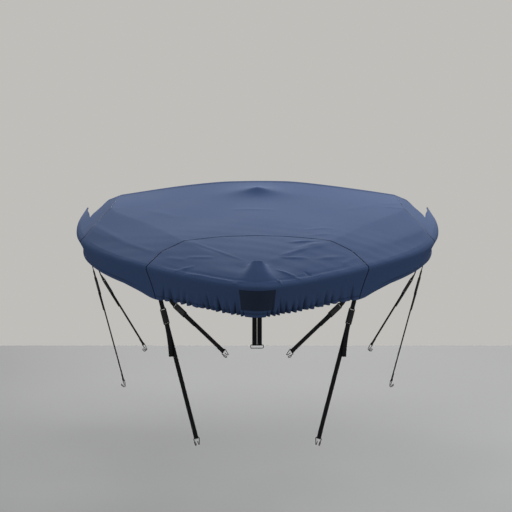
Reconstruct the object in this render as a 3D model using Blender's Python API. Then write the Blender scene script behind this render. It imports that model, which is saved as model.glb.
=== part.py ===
"""Fitted bow cover for an open boat, drawn tight on its deck, with its tie-down straps.

Frame: X to the right as seen from ahead of the bow, Y aft, Z up, metres. The origin lies on the
centreline, just under the top of the cloth. Every panel is cut from one draped surface,
cover_point(girth, rise): girth runs along the rubbing edge from the bow point towards each
aft corner, and rise runs from the hem (0) over the deck edge to the centreline (1).
"""

import math
from typing import NamedTuple

import bmesh
import bpy
import numpy as np

# Driving sizes -------------------------------------------------------------------------------
CLOTH = 0.002                 # thickness of the coated polyester
SEAM_GAP = 0.0008             # between two panels along a seam
FIT_GAP = 0.0003              # between a piece and what it lies on
DECK_DROP = 0.112             # the deck edge lies this far below the origin

BOW_Y = -1.381                # foremost point of the rubbing edge
HALF_BEAM = 1.176             # widest half width of the rubbing edge
BOW_LENGTH = 2.40             # from the bow point to where the sides run parallel
BOW_FULLNESS = 2.5            # exponent of the bow's plan curve
BOW_ROUNDING = 0.08           # rounding of the bow point
TAIL_Y = 1.367                # aft tip of the corner flaps

SKIRT_DROP = 0.190            # hem below the deck edge
SEAM_SHEAR = 0.042            # the bow seam runs this far forward on its way to the hem

# Section of the skirt and the deck edge: rise, inset from the rubbing edge, height.
EDGE_RISE = (0.00, 0.03, 0.08, 0.15, 0.195, 0.24)
EDGE_INSET = (0.045, 0.036, 0.020, 0.000, 0.006, 0.028)
EDGE_HEIGHT = (-SKIRT_DROP, -0.152, -0.095, -0.031, -0.017, -0.006)
RISE_AT_RAIL = 0.15
RISE_AT_DECK = 0.24
# Shares of the way from the deck edge to the centreline where a section's knots lie.
KNOTS = (0.0, 0.20, 0.40, 0.70, 1.0)
RISE_AT_CREASE = RISE_AT_DECK + (1 - RISE_AT_DECK) * KNOTS[2]
NOTCH_SHARE = 0.04            # the corner flap's aft edge turns towards its tip at this share


class Section(NamedTuple):
    """One line across the top: where it meets the rubbing edge, then its knots inwards.

    knee, crease and shoulder are x, y, z and centre is y, z, with z from the deck edge.
    """

    rail_y: float
    knee: tuple
    crease: tuple
    shoulder: tuple
    centre: tuple


# From the bow to the aft edge. The third is the bow seam and the fifth the corner seam.
SECTIONS = (
    Section(-1.381, (0.00, -1.280, 0.010), (0.00, -1.240, 0.018), (0.00, -1.150, 0.030), (-1.08, 0.036)),
    Section(-1.300, (0.12, -1.180, 0.018), (0.09, -1.090, 0.032), (0.05, -1.060, 0.042), (-1.00, 0.050)),
    Section(-0.820, (0.543, -0.626, 0.036), (0.423, -0.508, 0.074), (0.21, -0.45, 0.089), (-0.455, 0.096)),
    Section(-0.260, (0.815, -0.250, 0.034), (0.650, -0.020, 0.082), (0.33, 0.20, 0.115), (0.28, 0.134)),
    Section(0.110, (1.030, 0.257, 0.030), (0.940, 0.558, 0.095), (0.45, 0.68, 0.138), (0.70, 0.156)),
    Section(0.720, (1.015, 1.010, 0.062), (0.930, 1.000, 0.102), (0.33, 1.045, 0.180), (1.045, 0.181)),
    Section(0.790, (1.010, 1.063, 0.068), (0.918, 1.052, 0.106), (0.32, 1.094, 0.187), (1.094, 0.187)),
)
BOW_SEAM = 2
CORNER_SEAM = 4
AFT_EDGE = 6

# Supports under the cloth: centre y, height, half widths across and along.
BOW_HUMP = (-1.105, 0.050, 0.050, 0.062)
AFT_PEAK = (0.700, 0.036, 0.150, 0.110)

# Elastic gathers along the bow hem.
GATHER_FROM = 0.105           # girth where they start beside the patch
GATHER_TO = 0.80
GATHER_PITCH = 0.036
GATHER_DEPTH = 0.0065
GATHER_RISE = 0.10            # they have died out at this rise

PATCH_COLUMNS = 6              # bow panel columns that it covers on each side of the centreline
PATCH_CLOTH = 0.0016

# Straps ----------------------------------------------------------------------------------------
WEB_WIDTH = 0.025
WEB = 0.0016                  # thickness of the webbing
LAP = WEB + FIT_GAP           # distance between the middles of two layers sewn together
SEWN_LENGTH = 0.030           # how far a turned-back end is sewn down
TURN_NECK = 0.012             # from a bar to where the turned-back end lies flat on its strap
TAB_INSIDE = 0.030            # length of webbing sewn inside the hem
TAB_TWIST = 0.012             # a tab has turned from the hem's direction to its strap's by here

BUCKLE_LENGTH = 0.095
BUCKLE_WIDTH = 0.036
BUCKLE_DEPTH = 0.010
BAR = 0.0040                  # buckle bars, along the strap
BAR_DEPTH = 0.0030
SLOT = 0.0078
RAIL_DEPTH = 0.0060
BUCKLE_TURN = 0.0038          # radius of the webbing's middle where it turns round a bar

HOOK_WIRE = 0.0040
HOOK_TURN = 0.0033            # radius of the webbing's middle round the hook's top bar
HOOK_HALF_WIDTH = 0.0175
HOOK_CORNER = 0.0030          # rounding of its upper corners
HOOK_TIP_HALF_WIDTH = 0.0095
HOOK_LEG = 0.030
HOOK_BEND = 0.0085
HOOK_PRONG = 0.011


class TieDown(NamedTuple):
    """One strap, alike on both sides of the boat."""

    name: str
    hem_girth: float              # where it is sewn to the hem
    hook: tuple                   # lowest point of its hook: x, y and height from the deck edge
    tab: float                    # webbing between the hem and the buckle
    tail: float                   # free end beyond the buckle
    hang: float                   # 0 where the tail lies along the strap, 1 where it hangs
    facing: float                 # compass angle that its flat faces: 0 ahead, 90 abeam


TIE_DOWNS = (
    TieDown("quarter", 1.7522, (0.827, 0.060, -0.950), 0.060, 0.110, 0.0, 64.0),
    TieDown("side", 1.5845, (0.660, -0.330, -0.620), 0.034, 0.085, 0.0, 66.0),
    TieDown("front", 0.8197, (0.327, -1.152, -0.950), 0.062, 0.175, 1.0, 14.0),
    TieDown("brace", 0.7201, (0.160, -1.150, -0.446), 0.036, 0.070, 0.0, 30.0),
)
TAB_GAP = 0.0010              # between a tab's middle and the curved inside of the skirt
BOW_TAB_GAP = 0.0019          # the same at the bow, where the skirt curves most
TAB_HOLD = 0.036              # the cloth lies flat this far on either side of a tab
CENTRE_STRAPS = (("run_bow_left", -0.0270), ("run_bow_right", 0.0186))   # name, hem girth
CENTRE_STRAP_DROP = 0.150
RING_HALF_WIDTH = 0.034
RING_HALF_HEIGHT = 0.009

# Colours, linear: base colour, roughness, metallic.
FINISHES = {
    "cloth": ((0.040, 0.066, 0.150), 0.75, 0.0),
    "patch": ((0.016, 0.024, 0.050), 0.60, 0.0),
    "webbing": ((0.010, 0.010, 0.012), 0.80, 0.0),
    "moulding": ((0.015, 0.016, 0.018), 0.45, 0.0),
    "wire": ((0.030, 0.030, 0.032), 0.35, 0.9),
}


# The draped surface --------------------------------------------------------------------------
def plan_curve(samples=400):
    """The rubbing edge in plan as girth, x, y: a full bow curve with a rounded point."""
    share = np.linspace(0.0, 1.0, samples)
    along = BOW_LENGTH * share
    x = HALF_BEAM * (1.0 - (1.0 - share) ** BOW_FULLNESS)
    y = BOW_Y + np.hypot(along, BOW_ROUNDING) - BOW_ROUNDING
    x = np.append(x, HALF_BEAM)
    y = np.append(y, TAIL_Y + 0.25)
    girth = np.concatenate([[0.0], np.cumsum(np.hypot(np.diff(x), np.diff(y)))])
    return girth, x, y


PLAN_GIRTH, PLAN_X, PLAN_Y = plan_curve()


def girth_at_y(y):
    """The girth where the rubbing edge reaches this y."""
    return float(np.interp(y, PLAN_Y, PLAN_GIRTH))


SECTION_GIRTH = np.array([girth_at_y(section.rail_y) for section in SECTIONS])
GIRTH_BOW_SEAM = SECTION_GIRTH[BOW_SEAM]
GIRTH_CORNER_SEAM = SECTION_GIRTH[CORNER_SEAM]
GIRTH_AFT_EDGE = SECTION_GIRTH[AFT_EDGE]
GIRTH_TAIL = girth_at_y(TAIL_Y)


def rail(girth):
    """Point and outward normal of the rubbing edge in plan, on the right-hand side."""
    reach = 0.03
    x = np.interp(girth, PLAN_GIRTH, PLAN_X)
    y = np.interp(girth, PLAN_GIRTH, PLAN_Y)
    back = girth - reach
    back_x = np.sign(back) * np.interp(np.abs(back), PLAN_GIRTH, PLAN_X)
    back_y = np.interp(np.abs(back), PLAN_GIRTH, PLAN_Y)
    run_x = np.interp(girth + reach, PLAN_GIRTH, PLAN_X) - back_x
    run_y = np.interp(girth + reach, PLAN_GIRTH, PLAN_Y) - back_y
    length = np.hypot(run_x, run_y)
    return x, y, run_y / length, -run_x / length


def smooth_rows(at, rows, values):
    """Monotone cubic through values at rows, read at the given places."""
    values = np.asarray(values, float)
    step = np.diff(rows)
    slope = np.diff(values) / step
    tangent = np.zeros_like(values)
    product = slope[:-1] * slope[1:]
    total = slope[:-1] + slope[1:]
    safe = np.where(np.abs(total) < 1e-9, 1.0, total)
    tangent[1:-1] = np.where(product > 0, 2 * product / safe, 0.0)
    tangent[0], tangent[-1] = slope[0], slope[-1]
    i = np.clip(np.searchsorted(rows, at) - 1, 0, len(step) - 1)
    t = np.clip((at - rows[i]) / step[i], 0.0, 1.0)
    return (
        (1 + 2 * t) * (1 - t) ** 2 * values[i]
        + t * (1 - t) ** 2 * step[i] * tangent[i]
        + t * t * (3 - 2 * t) * values[i + 1]
        + t * t * (t - 1) * step[i] * tangent[i + 1]
    )


def across_top(share, knots):
    """Catmull-Rom curve through the five knot values, the last one mirrored at the centre."""
    values = [2 * knots[0] - knots[1], *knots]
    places = [2 * KNOTS[0] - KNOTS[1], *KNOTS]
    result = np.array(knots[0], float) + 0.0 * share
    for i in range(1, 5):
        left, right = places[i], places[i + 1]
        span = right - left
        after = places[i + 2] if i + 2 < len(places) else right + span
        beyond = values[i + 2] if i + 2 < len(values) else 2 * values[i + 1] - values[i]
        start = (values[i + 1] - values[i - 1]) / (right - places[i - 1]) * span
        end = (beyond - values[i]) / (after - left) * span
        t = np.clip((share - left) / span, 0.0, 1.0)
        piece = (
            (1 + 2 * t) * (1 - t) ** 2 * values[i]
            + t * (1 - t) ** 2 * start
            + t * t * (3 - 2 * t) * values[i + 1]
            + t * t * (t - 1) * end
        )
        result = np.where(share >= left, piece, result)
    return result


def gathers(girth, rise):
    """Outward push of the elastic gathers: uneven folds that die out above the hem."""
    size = np.abs(girth)
    band = np.clip((size - GATHER_FROM) / 0.07, 0, 1) * np.clip((GATHER_TO - size) / 0.10, 0, 1)
    fade = np.clip(1.0 - rise / GATHER_RISE, 0.0, 1.0) ** 1.3
    sway = 0.9 * np.sin(9.0 * girth + 0.7) + 0.6 * np.sin(23.0 * girth)
    for tie in TIE_DOWNS:
        band = band * (1.0 - np.exp(-(((size - tie.hem_girth) / TAB_HOLD) ** 4)))
    wave = np.sin(2 * math.pi * girth / GATHER_PITCH + sway + 10.0 * rise * np.sign(girth))
    strength = 0.70 + 0.30 * np.sin(14.0 * girth + 1.9)
    return GATHER_DEPTH * band * fade * strength * wave


def cover_point(girth, rise):
    """The outer face of the draped cloth at girth (negative on the left) and rise."""
    girth, rise = np.broadcast_arrays(np.asarray(girth, float), np.asarray(rise, float))
    side = np.where(girth < 0, -1.0, 1.0)
    size = np.abs(girth)
    low = np.clip(1.0 - rise / RISE_AT_DECK, 0.0, 1.0)
    shear = SEAM_SHEAR * np.clip(size / GIRTH_BOW_SEAM, 0, 1)
    shear = shear * np.clip((GIRTH_CORNER_SEAM - size) / 0.5, 0, 1)
    skirt_girth = size - shear * low
    x, y, normal_x, normal_y = rail(skirt_girth)
    # The corner flap narrows to its aft tip.
    taper = np.clip((GIRTH_TAIL - size) / (GIRTH_TAIL - GIRTH_AFT_EDGE), 0.06, 1.0)
    edge = np.clip(rise, 0.0, RISE_AT_DECK)
    below_rail = np.where(edge < RISE_AT_RAIL, taper, 1.0)
    inset = np.interp(edge, EDGE_RISE, EDGE_INSET) * below_rail
    rail_height = EDGE_HEIGHT[EDGE_RISE.index(RISE_AT_RAIL)]
    height = rail_height + (np.interp(edge, EDGE_RISE, EDGE_HEIGHT) - rail_height) * below_rail
    push = gathers(girth, rise)
    deck_x = x - (inset - push) * normal_x
    deck_y = y - (inset - push) * normal_y
    knots_x, knots_y, knots_z = [deck_x], [deck_y], [height]
    for knot in ("knee", "crease", "shoulder"):
        for k, knots in enumerate((knots_x, knots_y, knots_z)):
            along = [getattr(section, knot)[k] for section in SECTIONS]
            knots.append(smooth_rows(size, SECTION_GIRTH, along))
    knots_x.append(0.0 * size)
    knots_y.append(smooth_rows(size, SECTION_GIRTH, [section.centre[0] for section in SECTIONS]))
    knots_z.append(smooth_rows(size, SECTION_GIRTH, [section.centre[1] for section in SECTIONS]))
    share = np.clip((rise - RISE_AT_DECK) / (1 - RISE_AT_DECK), 0.0, 1.0)
    on_top = rise > RISE_AT_DECK
    px = np.where(on_top, across_top(share, knots_x), deck_x)
    py = np.where(on_top, across_top(share, knots_y), deck_y)
    pz = np.where(on_top, across_top(share, knots_z), height)
    px = np.where(rise >= 1.0, 0.0, px)
    for centre, lift, across, along in (BOW_HUMP, AFT_PEAK):
        spread = (px / across) ** 2 + ((py - centre) / along) ** 2
        pz = pz + np.where(on_top, lift * np.exp(-spread), 0.0)
    return np.stack([px * side, py, pz - DECK_DROP], axis=-1)


def cover_slopes(girth, rise):
    """How the draped surface runs along girth and along rise, as two vectors at each spot."""
    step = 0.002
    level = np.minimum(rise, 1.0 - step)
    below = np.maximum(level - step, 0.0)
    along = (cover_point(girth + step, level) - cover_point(girth - step, level)) / (2 * step)
    upward = cover_point(girth, level + step) - cover_point(girth, below)
    return along, upward / (level + step - below)[..., None]


def cover_normal(girth, rise):
    """Outward unit normal of the draped surface."""
    normal = np.cross(*cover_slopes(girth, rise))
    normal[..., 0] = np.where(rise >= 1.0, 0.0, normal[..., 0])
    return normal / np.linalg.norm(normal, axis=-1, keepdims=True)


# Mesh helpers --------------------------------------------------------------------------------
def finish_material(name):
    """One Principled material, made once for each object that wears it."""
    colour, roughness, metallic = FINISHES[name]
    material = bpy.data.materials.new(name)
    material.use_nodes = True
    shader = material.node_tree.nodes["Principled BSDF"]
    shader.inputs["Base Color"].default_value = (*colour, 1.0)
    shader.inputs["Roughness"].default_value = roughness
    shader.inputs["Metallic"].default_value = metallic
    return material


def add_object(name, points, faces, finish, smooth=True):
    """A named object from points and faces, with its normals turned outwards."""
    mesh = bpy.data.meshes.new(name)
    mesh.from_pydata([tuple(p) for p in np.asarray(points, float)], [], [tuple(f) for f in faces])
    build = bmesh.new()
    build.from_mesh(mesh)
    bmesh.ops.recalc_face_normals(build, faces=build.faces)
    build.to_mesh(mesh)
    build.free()
    if smooth:
        mesh.shade_smooth()
        mesh.set_sharp_from_angle(angle=math.radians(35))
    mesh.materials.append(finish_material(finish))
    holder = bpy.data.objects.new(name, mesh)
    bpy.context.collection.objects.link(holder)
    return holder


def turned(face):
    """The face seen from behind, split into triangles along the same diagonal."""
    return [face[0], *face[:0:-1]]


def cloth_solid(name, spots, faces, finish, lift=0.0, thickness=CLOTH):
    """A closed sheet over the faces between spots: two faces and a rim.

    A spot is a girth, a rise, and how far it then steps off a seam, in metres: square to the
    lines of constant girth, and square to those of constant rise.
    """
    girth, rise, beside, above = np.array(spots, float).T
    along, upward = cover_slopes(girth, rise)
    normals = cover_normal(girth, rise)
    across = np.cross(upward, normals)
    up = np.cross(normals, along)
    outer = cover_point(girth, rise) + lift * normals
    outer += beside[:, None] * across / np.linalg.norm(across, axis=1, keepdims=True)
    outer += above[:, None] * up / np.linalg.norm(up, axis=1, keepdims=True)
    inner = outer - thickness * normals
    count = len(outer)
    solid = [tuple(face) for face in faces]
    solid += [tuple(index + count for index in turned(face)) for face in faces]
    edges = {(a, b) for face in faces for a, b in zip(face, face[1:] + face[:1])}
    solid += [(b, a, a + count, b + count) for a, b in sorted(edges) if (b, a) not in edges]
    return add_object(name, np.concatenate([outer, inner]), solid, finish)


def quads(ids):
    """Faces of a grid of point numbers, leaving out cells with a missing corner."""
    faces = []
    for i in range(ids.shape[0] - 1):
        for j in range(ids.shape[1] - 1):
            face = [int(k) for k in (ids[i, j], ids[i + 1, j], ids[i + 1, j + 1], ids[i, j + 1])]
            if min(face) >= 0:
                faces.append(face)
    return faces


BOW_COLUMNS = 48               # on each side of the centreline
BOW_SKIRT_RISES = (0.0, 0.03, 0.055, 0.08, 0.14, RISE_AT_RAIL, 0.195)
PATCH_ROWS = slice(1, 5)       # rows of the bow panel's skirt that the patch covers
DECK_COLUMNS = 16             # from the bow seam to the corner seam
TAB_COLUMNS = (14, 11)        # those at the quarter and the side tie-down
CORNER_COLUMNS = 6            # from the corner seam to the aft edge
TOP_SHARES = (NOTCH_SHARE, 0.10, 0.20, 0.30, KNOTS[2], 0.50, 0.60, 0.70, 0.85)
TOP_RISES = [RISE_AT_DECK + (1 - RISE_AT_DECK) * share for share in TOP_SHARES]


# Panels --------------------------------------------------------------------------------------
def bow_girths():
    """The girths of the bow panel's columns, from its left seam to its right one."""
    half = np.linspace(0.0, GIRTH_BOW_SEAM, BOW_COLUMNS + 1)
    return np.concatenate([-half[:0:-1], half])


def off_bow_seam(girth, way):
    """The step off the bow seam of a spot on it: way -1 towards the bow, 1 aft."""
    on_seam = abs(abs(girth) - GIRTH_BOW_SEAM) < 1e-9
    return way * math.copysign(SEAM_GAP / 2, girth) if on_seam else 0.0


def bow_panel():
    """The front panel inside the U-shaped seam, gathered along its hem."""
    fine = bow_girths()
    coarse = fine[::2]
    deck = [RISE_AT_DECK, *TOP_RISES]
    spots, rows = [], []
    for rises, girths in ((BOW_SKIRT_RISES, fine), (deck, coarse)):
        for rise in rises:
            rows.append(list(range(len(spots), len(spots) + len(girths))))
            spots += [(girth, rise, off_bow_seam(girth, -1), 0.0) for girth in girths]
    middle = len(coarse) // 2
    ridge = list(range(len(spots), len(spots) + middle + 1))
    spots += [(girth, 1.0, off_bow_seam(girth, -1), 0.0) for girth in coarse[middle:]]
    rows.append([*ridge[:0:-1], *ridge])
    faces = []
    for lower, upper in zip(rows, rows[1:]):
        if len(lower) == len(upper):
            faces += [[a, b, c, d] for a, b, c, d in zip(lower, lower[1:], upper[1:], upper)]
            continue
        for k in range(len(upper) - 1):
            left, mid, right = lower[2 * k : 2 * k + 3]
            faces += [[left, mid, upper[k]], [mid, upper[k + 1], upper[k]]]
            faces.append([mid, right, upper[k + 1]])
    return cloth_solid("bow_panel", spots, faces, "cloth")


def deck_panel():
    """The main panel: from the bow seam to the aft edge, between the two corner seams."""
    known = {0: GIRTH_BOW_SEAM, DECK_COLUMNS: GIRTH_CORNER_SEAM}
    known.update({column: tie.hem_girth for column, tie in zip(TAB_COLUMNS, TIE_DOWNS)})
    forward = np.interp(np.arange(DECK_COLUMNS + 1), sorted(known), sorted(known.values()))
    band = np.linspace(GIRTH_CORNER_SEAM, GIRTH_AFT_EDGE, CORNER_COLUMNS + 1)
    girths = np.concatenate([forward, band[1:]])
    rises = [*EDGE_RISE, *TOP_RISES, 1.0]
    crease = rises.index(RISE_AT_CREASE)
    ids = np.full((len(girths), 2 * len(rises) - 1), -1)
    spots = []
    for i, girth in enumerate(girths):
        for j in range(ids.shape[1]):
            side = -1.0 if j < len(rises) - 1 else 1.0
            row = min(j, ids.shape[1] - 1 - j)
            if i > DECK_COLUMNS and row < crease:
                continue
            beside = off_bow_seam(side * girth, 1)
            if i == DECK_COLUMNS and row <= crease:
                beside = -side * SEAM_GAP / 2
            above = SEAM_GAP / 2 if i >= DECK_COLUMNS and row == crease else 0.0
            ids[i, j] = len(spots)
            spots.append((side * girth, rises[row], beside, above))
    return cloth_solid("deck_panel", spots, quads(ids.T), "cloth")


def corner_panel(side):
    """One corner flap: from the corner seam round the deck edge to its aft tip."""
    rises = [*EDGE_RISE, *TOP_RISES]
    rises = rises[: rises.index(RISE_AT_CREASE) + 1]
    notch = len(EDGE_RISE)
    shares = np.linspace(0.0, 1.0, CORNER_COLUMNS + 1)
    ids = np.arange(len(shares) * len(rises)).reshape(len(shares), len(rises))
    spots = []
    for share in shares:
        for rise in rises:
            past_rail = np.clip((rise - RISE_AT_RAIL) / (rises[notch] - RISE_AT_RAIL), 0, 1)
            end = GIRTH_TAIL + (GIRTH_AFT_EDGE - GIRTH_TAIL) * past_rail
            girth = GIRTH_CORNER_SEAM + (end - GIRTH_CORNER_SEAM) * share
            beside = side * SEAM_GAP / 2 if share == 0.0 else 0.0
            above = -SEAM_GAP / 2 if rise == RISE_AT_CREASE else 0.0
            spots.append((side * girth, rise, beside, above))
    faces = quads(ids)
    if side < 0:
        faces = [turned(face) for face in faces]
    name = "corner_panel_left" if side < 0 else "corner_panel_right"
    return cloth_solid(name, spots, faces, "cloth")


def bow_patch():
    """The smooth reinforcing patch sewn on the skirt at the bow."""
    girths = bow_girths()[BOW_COLUMNS - PATCH_COLUMNS : BOW_COLUMNS + PATCH_COLUMNS + 1]
    rises = BOW_SKIRT_RISES[PATCH_ROWS]
    ids = np.arange(len(girths) * len(rises)).reshape(len(girths), len(rises))
    spots = [(girth, rise, 0.0, 0.0) for girth in girths for rise in rises]
    lift = FIT_GAP + PATCH_CLOTH
    return cloth_solid("bow_patch", spots, quads(ids), "patch", lift, PATCH_CLOTH)


# Straps ----------------------------------------------------------------------------------------
def unit(vector):
    """The vector at length one."""
    vector = np.asarray(vector, float)
    return vector / np.linalg.norm(vector)


def ribbon(name, path, across, finish="webbing", width=WEB_WIDTH, thickness=WEB):
    """Flat webbing along a path, its width lying along the across vector at each point."""
    path, across = np.asarray(path, float), np.asarray(across, float)
    before = np.diff(path, axis=0, prepend=path[:1] - (path[1:2] - path[:1]))
    after = np.diff(path, axis=0, append=path[-1:] + (path[-1:] - path[-2:-1]))
    before /= np.linalg.norm(before, axis=1, keepdims=True)
    after /= np.linalg.norm(after, axis=1, keepdims=True)
    tangent = before + after
    tangent /= np.linalg.norm(tangent, axis=1, keepdims=True)
    across = across - tangent * np.sum(across * tangent, axis=1, keepdims=True)
    across /= np.linalg.norm(across, axis=1, keepdims=True)
    normal = np.cross(across, tangent)
    mitre = thickness / 2 / np.sum(tangent * after, axis=1, keepdims=True)
    corners = [
        path + across * width / 2 + normal * mitre,
        path - across * width / 2 + normal * mitre,
        path - across * width / 2 - normal * mitre,
        path + across * width / 2 - normal * mitre,
    ]
    points = np.stack(corners, axis=1).reshape(-1, 3)
    faces = [(0, 1, 2, 3)]
    for ring in range(len(path) - 1):
        a, b, c, d = range(4 * ring, 4 * ring + 4)
        # Front and back are split along the same diagonal, so that a twist keeps its thickness.
        faces += [(a, b, b + 4), (a, b + 4, a + 4), (c, d, c + 4), (d, d + 4, c + 4)]
        faces += [(b, c, c + 4, b + 4), (d, a, a + 4, d + 4)]
    last = 4 * (len(path) - 1)
    faces.append((last + 3, last + 2, last + 1, last))
    return add_object(name, points, faces, finish)


def wire(name, path, diameter, finish="wire", sides=6, closed=False):
    """A bent wire of round section along a path."""
    path = np.asarray(path, float)
    if closed:
        before = path - np.roll(path, 1, axis=0)
        after = np.roll(path, -1, axis=0) - path
    else:
        before = np.diff(path, axis=0, prepend=2 * path[:1] - path[1:2])
        after = np.diff(path, axis=0, append=2 * path[-1:] - path[-2:-1])
    before /= np.linalg.norm(before, axis=1, keepdims=True)
    after /= np.linalg.norm(after, axis=1, keepdims=True)
    tangent = before + after
    tangent /= np.linalg.norm(tangent, axis=1, keepdims=True)
    normal = unit(np.cross(tangent[0], [0.31, 0.52, 0.79]))
    rings = []
    for centre, ahead in zip(path, tangent):
        normal = unit(normal - ahead * np.dot(normal, ahead))
        other = np.cross(ahead, normal)
        turn = 2 * math.pi * np.arange(sides)[:, None] / sides
        rings.append(centre + diameter / 2 * (np.cos(turn) * normal + np.sin(turn) * other))
    points = np.concatenate(rings)
    faces = []
    count = len(path)
    for ring in range(count if closed else count - 1):
        for k in range(sides):
            a, b = ring * sides + k, ring * sides + (k + 1) % sides
            c = ((ring + 1) % count) * sides
            faces.append((a, b, c + (k + 1) % sides, c + k))
    if not closed:
        faces.append(tuple(reversed(range(sides))))
        faces.append(tuple((count - 1) * sides + k for k in range(sides)))
    return add_object(name, points, faces, finish)


def place(origin, down, front, along):
    """Points given as (distance down the strap, distance to its front) from an origin."""
    along = np.asarray(along, float)
    return origin + along[:, :1] * down + along[:, 1:2] * front


def turned_end(turn, lap=SEWN_LENGTH, segments=6):
    """A sewn loop, as (down, front) from the bar's middle: down the back, round, up the front."""
    angles = np.linspace(math.pi, 0.0, segments + 1)
    bend = [(turn * math.sin(a), turn * math.cos(a)) for a in angles]
    return [(-TURN_NECK, -LAP / 2), (-0.002, -turn), *bend, (-0.002, turn), (-TURN_NECK, LAP / 2),
            (-TURN_NECK - lap, LAP / 2)]


def inside_skirt(girth, rise, gap):
    """The middle of webbing that lies against the skirt's inside at girth and rise."""
    outward = cover_normal(np.array([girth]), np.array([rise]))[0]
    return cover_point(girth, rise) - outward * (CLOTH + gap + WEB / 2)


def sewn_inside(girth, gap, down, across):
    """The webbing sewn against the skirt's inside on the strap's own slant, as far as the hem.

    Gives its points and its across vector, which points the same way as the strap's.
    """
    spot = np.array([girth]), np.array([0.0])
    outward = cover_normal(*spot)[0]
    along, upward = (slope[0] for slope in cover_slopes(*spot))
    slant = unit(np.dot(down, outward) * outward - down)
    steps = np.linalg.lstsq(np.stack([along, upward], axis=1), slant, rcond=None)[0]
    points = [
        inside_skirt(girth + reach * steps[0], reach * steps[1], gap)
        for reach in (TAB_INSIDE, TAB_INSIDE / 2, 0.0)
    ]
    lie = unit(np.cross(outward, slant))
    return points, lie if np.dot(lie, across) > 0 else -lie


def twisted(sewn, lie, target, across):
    """In-between points from the hem to the target, with the across vector turning on the way."""
    shares = (0.25, 0.5, 0.75)
    points = [sewn[-1] + (target - sewn[-1]) * share for share in shares]
    return points, [unit(lie * (1 - share) + across * share) for share in shares]


def buckle(name, top, down, front, across):
    """A moulded buckle: two bars, two slots and a raised body, as one solid."""
    half = BUCKLE_WIDTH / 2
    inner = WEB_WIDTH / 2 + 0.0008
    steps = [0.0, BAR, BAR + SLOT, BAR + SLOT + 0.004]
    lengths = steps + [BUCKLE_LENGTH - s for s in reversed(steps)]
    widths = [-half, -inner, inner, half]
    body_rows = (3, 4)
    depth = np.full((len(lengths), 4), RAIL_DEPTH / 2)
    depth[[0, 1, -2, -1], 1:3] = BAR_DEPTH / 2
    depth[[0, 1, -2, -1], 0] = BAR_DEPTH / 2
    depth[[0, 1, -2, -1], 3] = BAR_DEPTH / 2
    for row in body_rows:
        depth[row, 1:3] = BUCKLE_DEPTH / 2
    front_points, back_points = [], []
    for i, length in enumerate(lengths):
        for j, width in enumerate(widths):
            centre = top + (length - BAR / 2) * down + width * across
            front_points.append(centre + depth[i, j] * front)
            back_points.append(centre - depth[i, j] * front)
    open_cells = {(1, 1), (len(lengths) - 3, 1)}
    count = len(front_points)
    cells = [
        (i, j)
        for i in range(len(lengths) - 1)
        for j in range(3)
        if (i, j) not in open_cells
    ]
    front_faces = [[4 * i + j, 4 * i + j + 1, 4 * i + j + 5, 4 * i + j + 4] for i, j in cells]
    faces = front_faces + [[k + count for k in reversed(face)] for face in front_faces]
    directed = {(a, b) for face in front_faces for a, b in zip(face, face[1:] + face[:1])}
    faces += [(b, a, a + count, b + count) for a, b in directed if (b, a) not in directed]
    return add_object(name, front_points + back_points, faces, "moulding", smooth=False)


def wire_hook(name, bar, down, front, across):
    """A double hook bent from one wire: a top bar, two legs and two turned-up prongs."""
    half = []
    half.append((HOOK_LEG - HOOK_PRONG, 2 * HOOK_BEND, HOOK_TIP_HALF_WIDTH))
    for angle in np.linspace(0.0, math.pi, 7):
        drop = HOOK_LEG + HOOK_BEND * math.sin(angle)
        reach = HOOK_BEND + HOOK_BEND * math.cos(angle)
        half.append((drop, reach, HOOK_TIP_HALF_WIDTH))
    half.append((HOOK_CORNER, 0.0, HOOK_HALF_WIDTH))
    half.append((HOOK_CORNER * 0.3, 0.0, HOOK_HALF_WIDTH - HOOK_CORNER * 0.3))
    half.append((0.0, 0.0, HOOK_HALF_WIDTH - HOOK_CORNER))
    half = np.array(half)
    other = half[::-1] * np.array([1.0, 1.0, -1.0])
    local = np.concatenate([half, other])
    path = bar + local[:, :1] * down + local[:, 1:2] * front + local[:, 2:] * across
    return wire(name, path, HOOK_WIRE)


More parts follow.
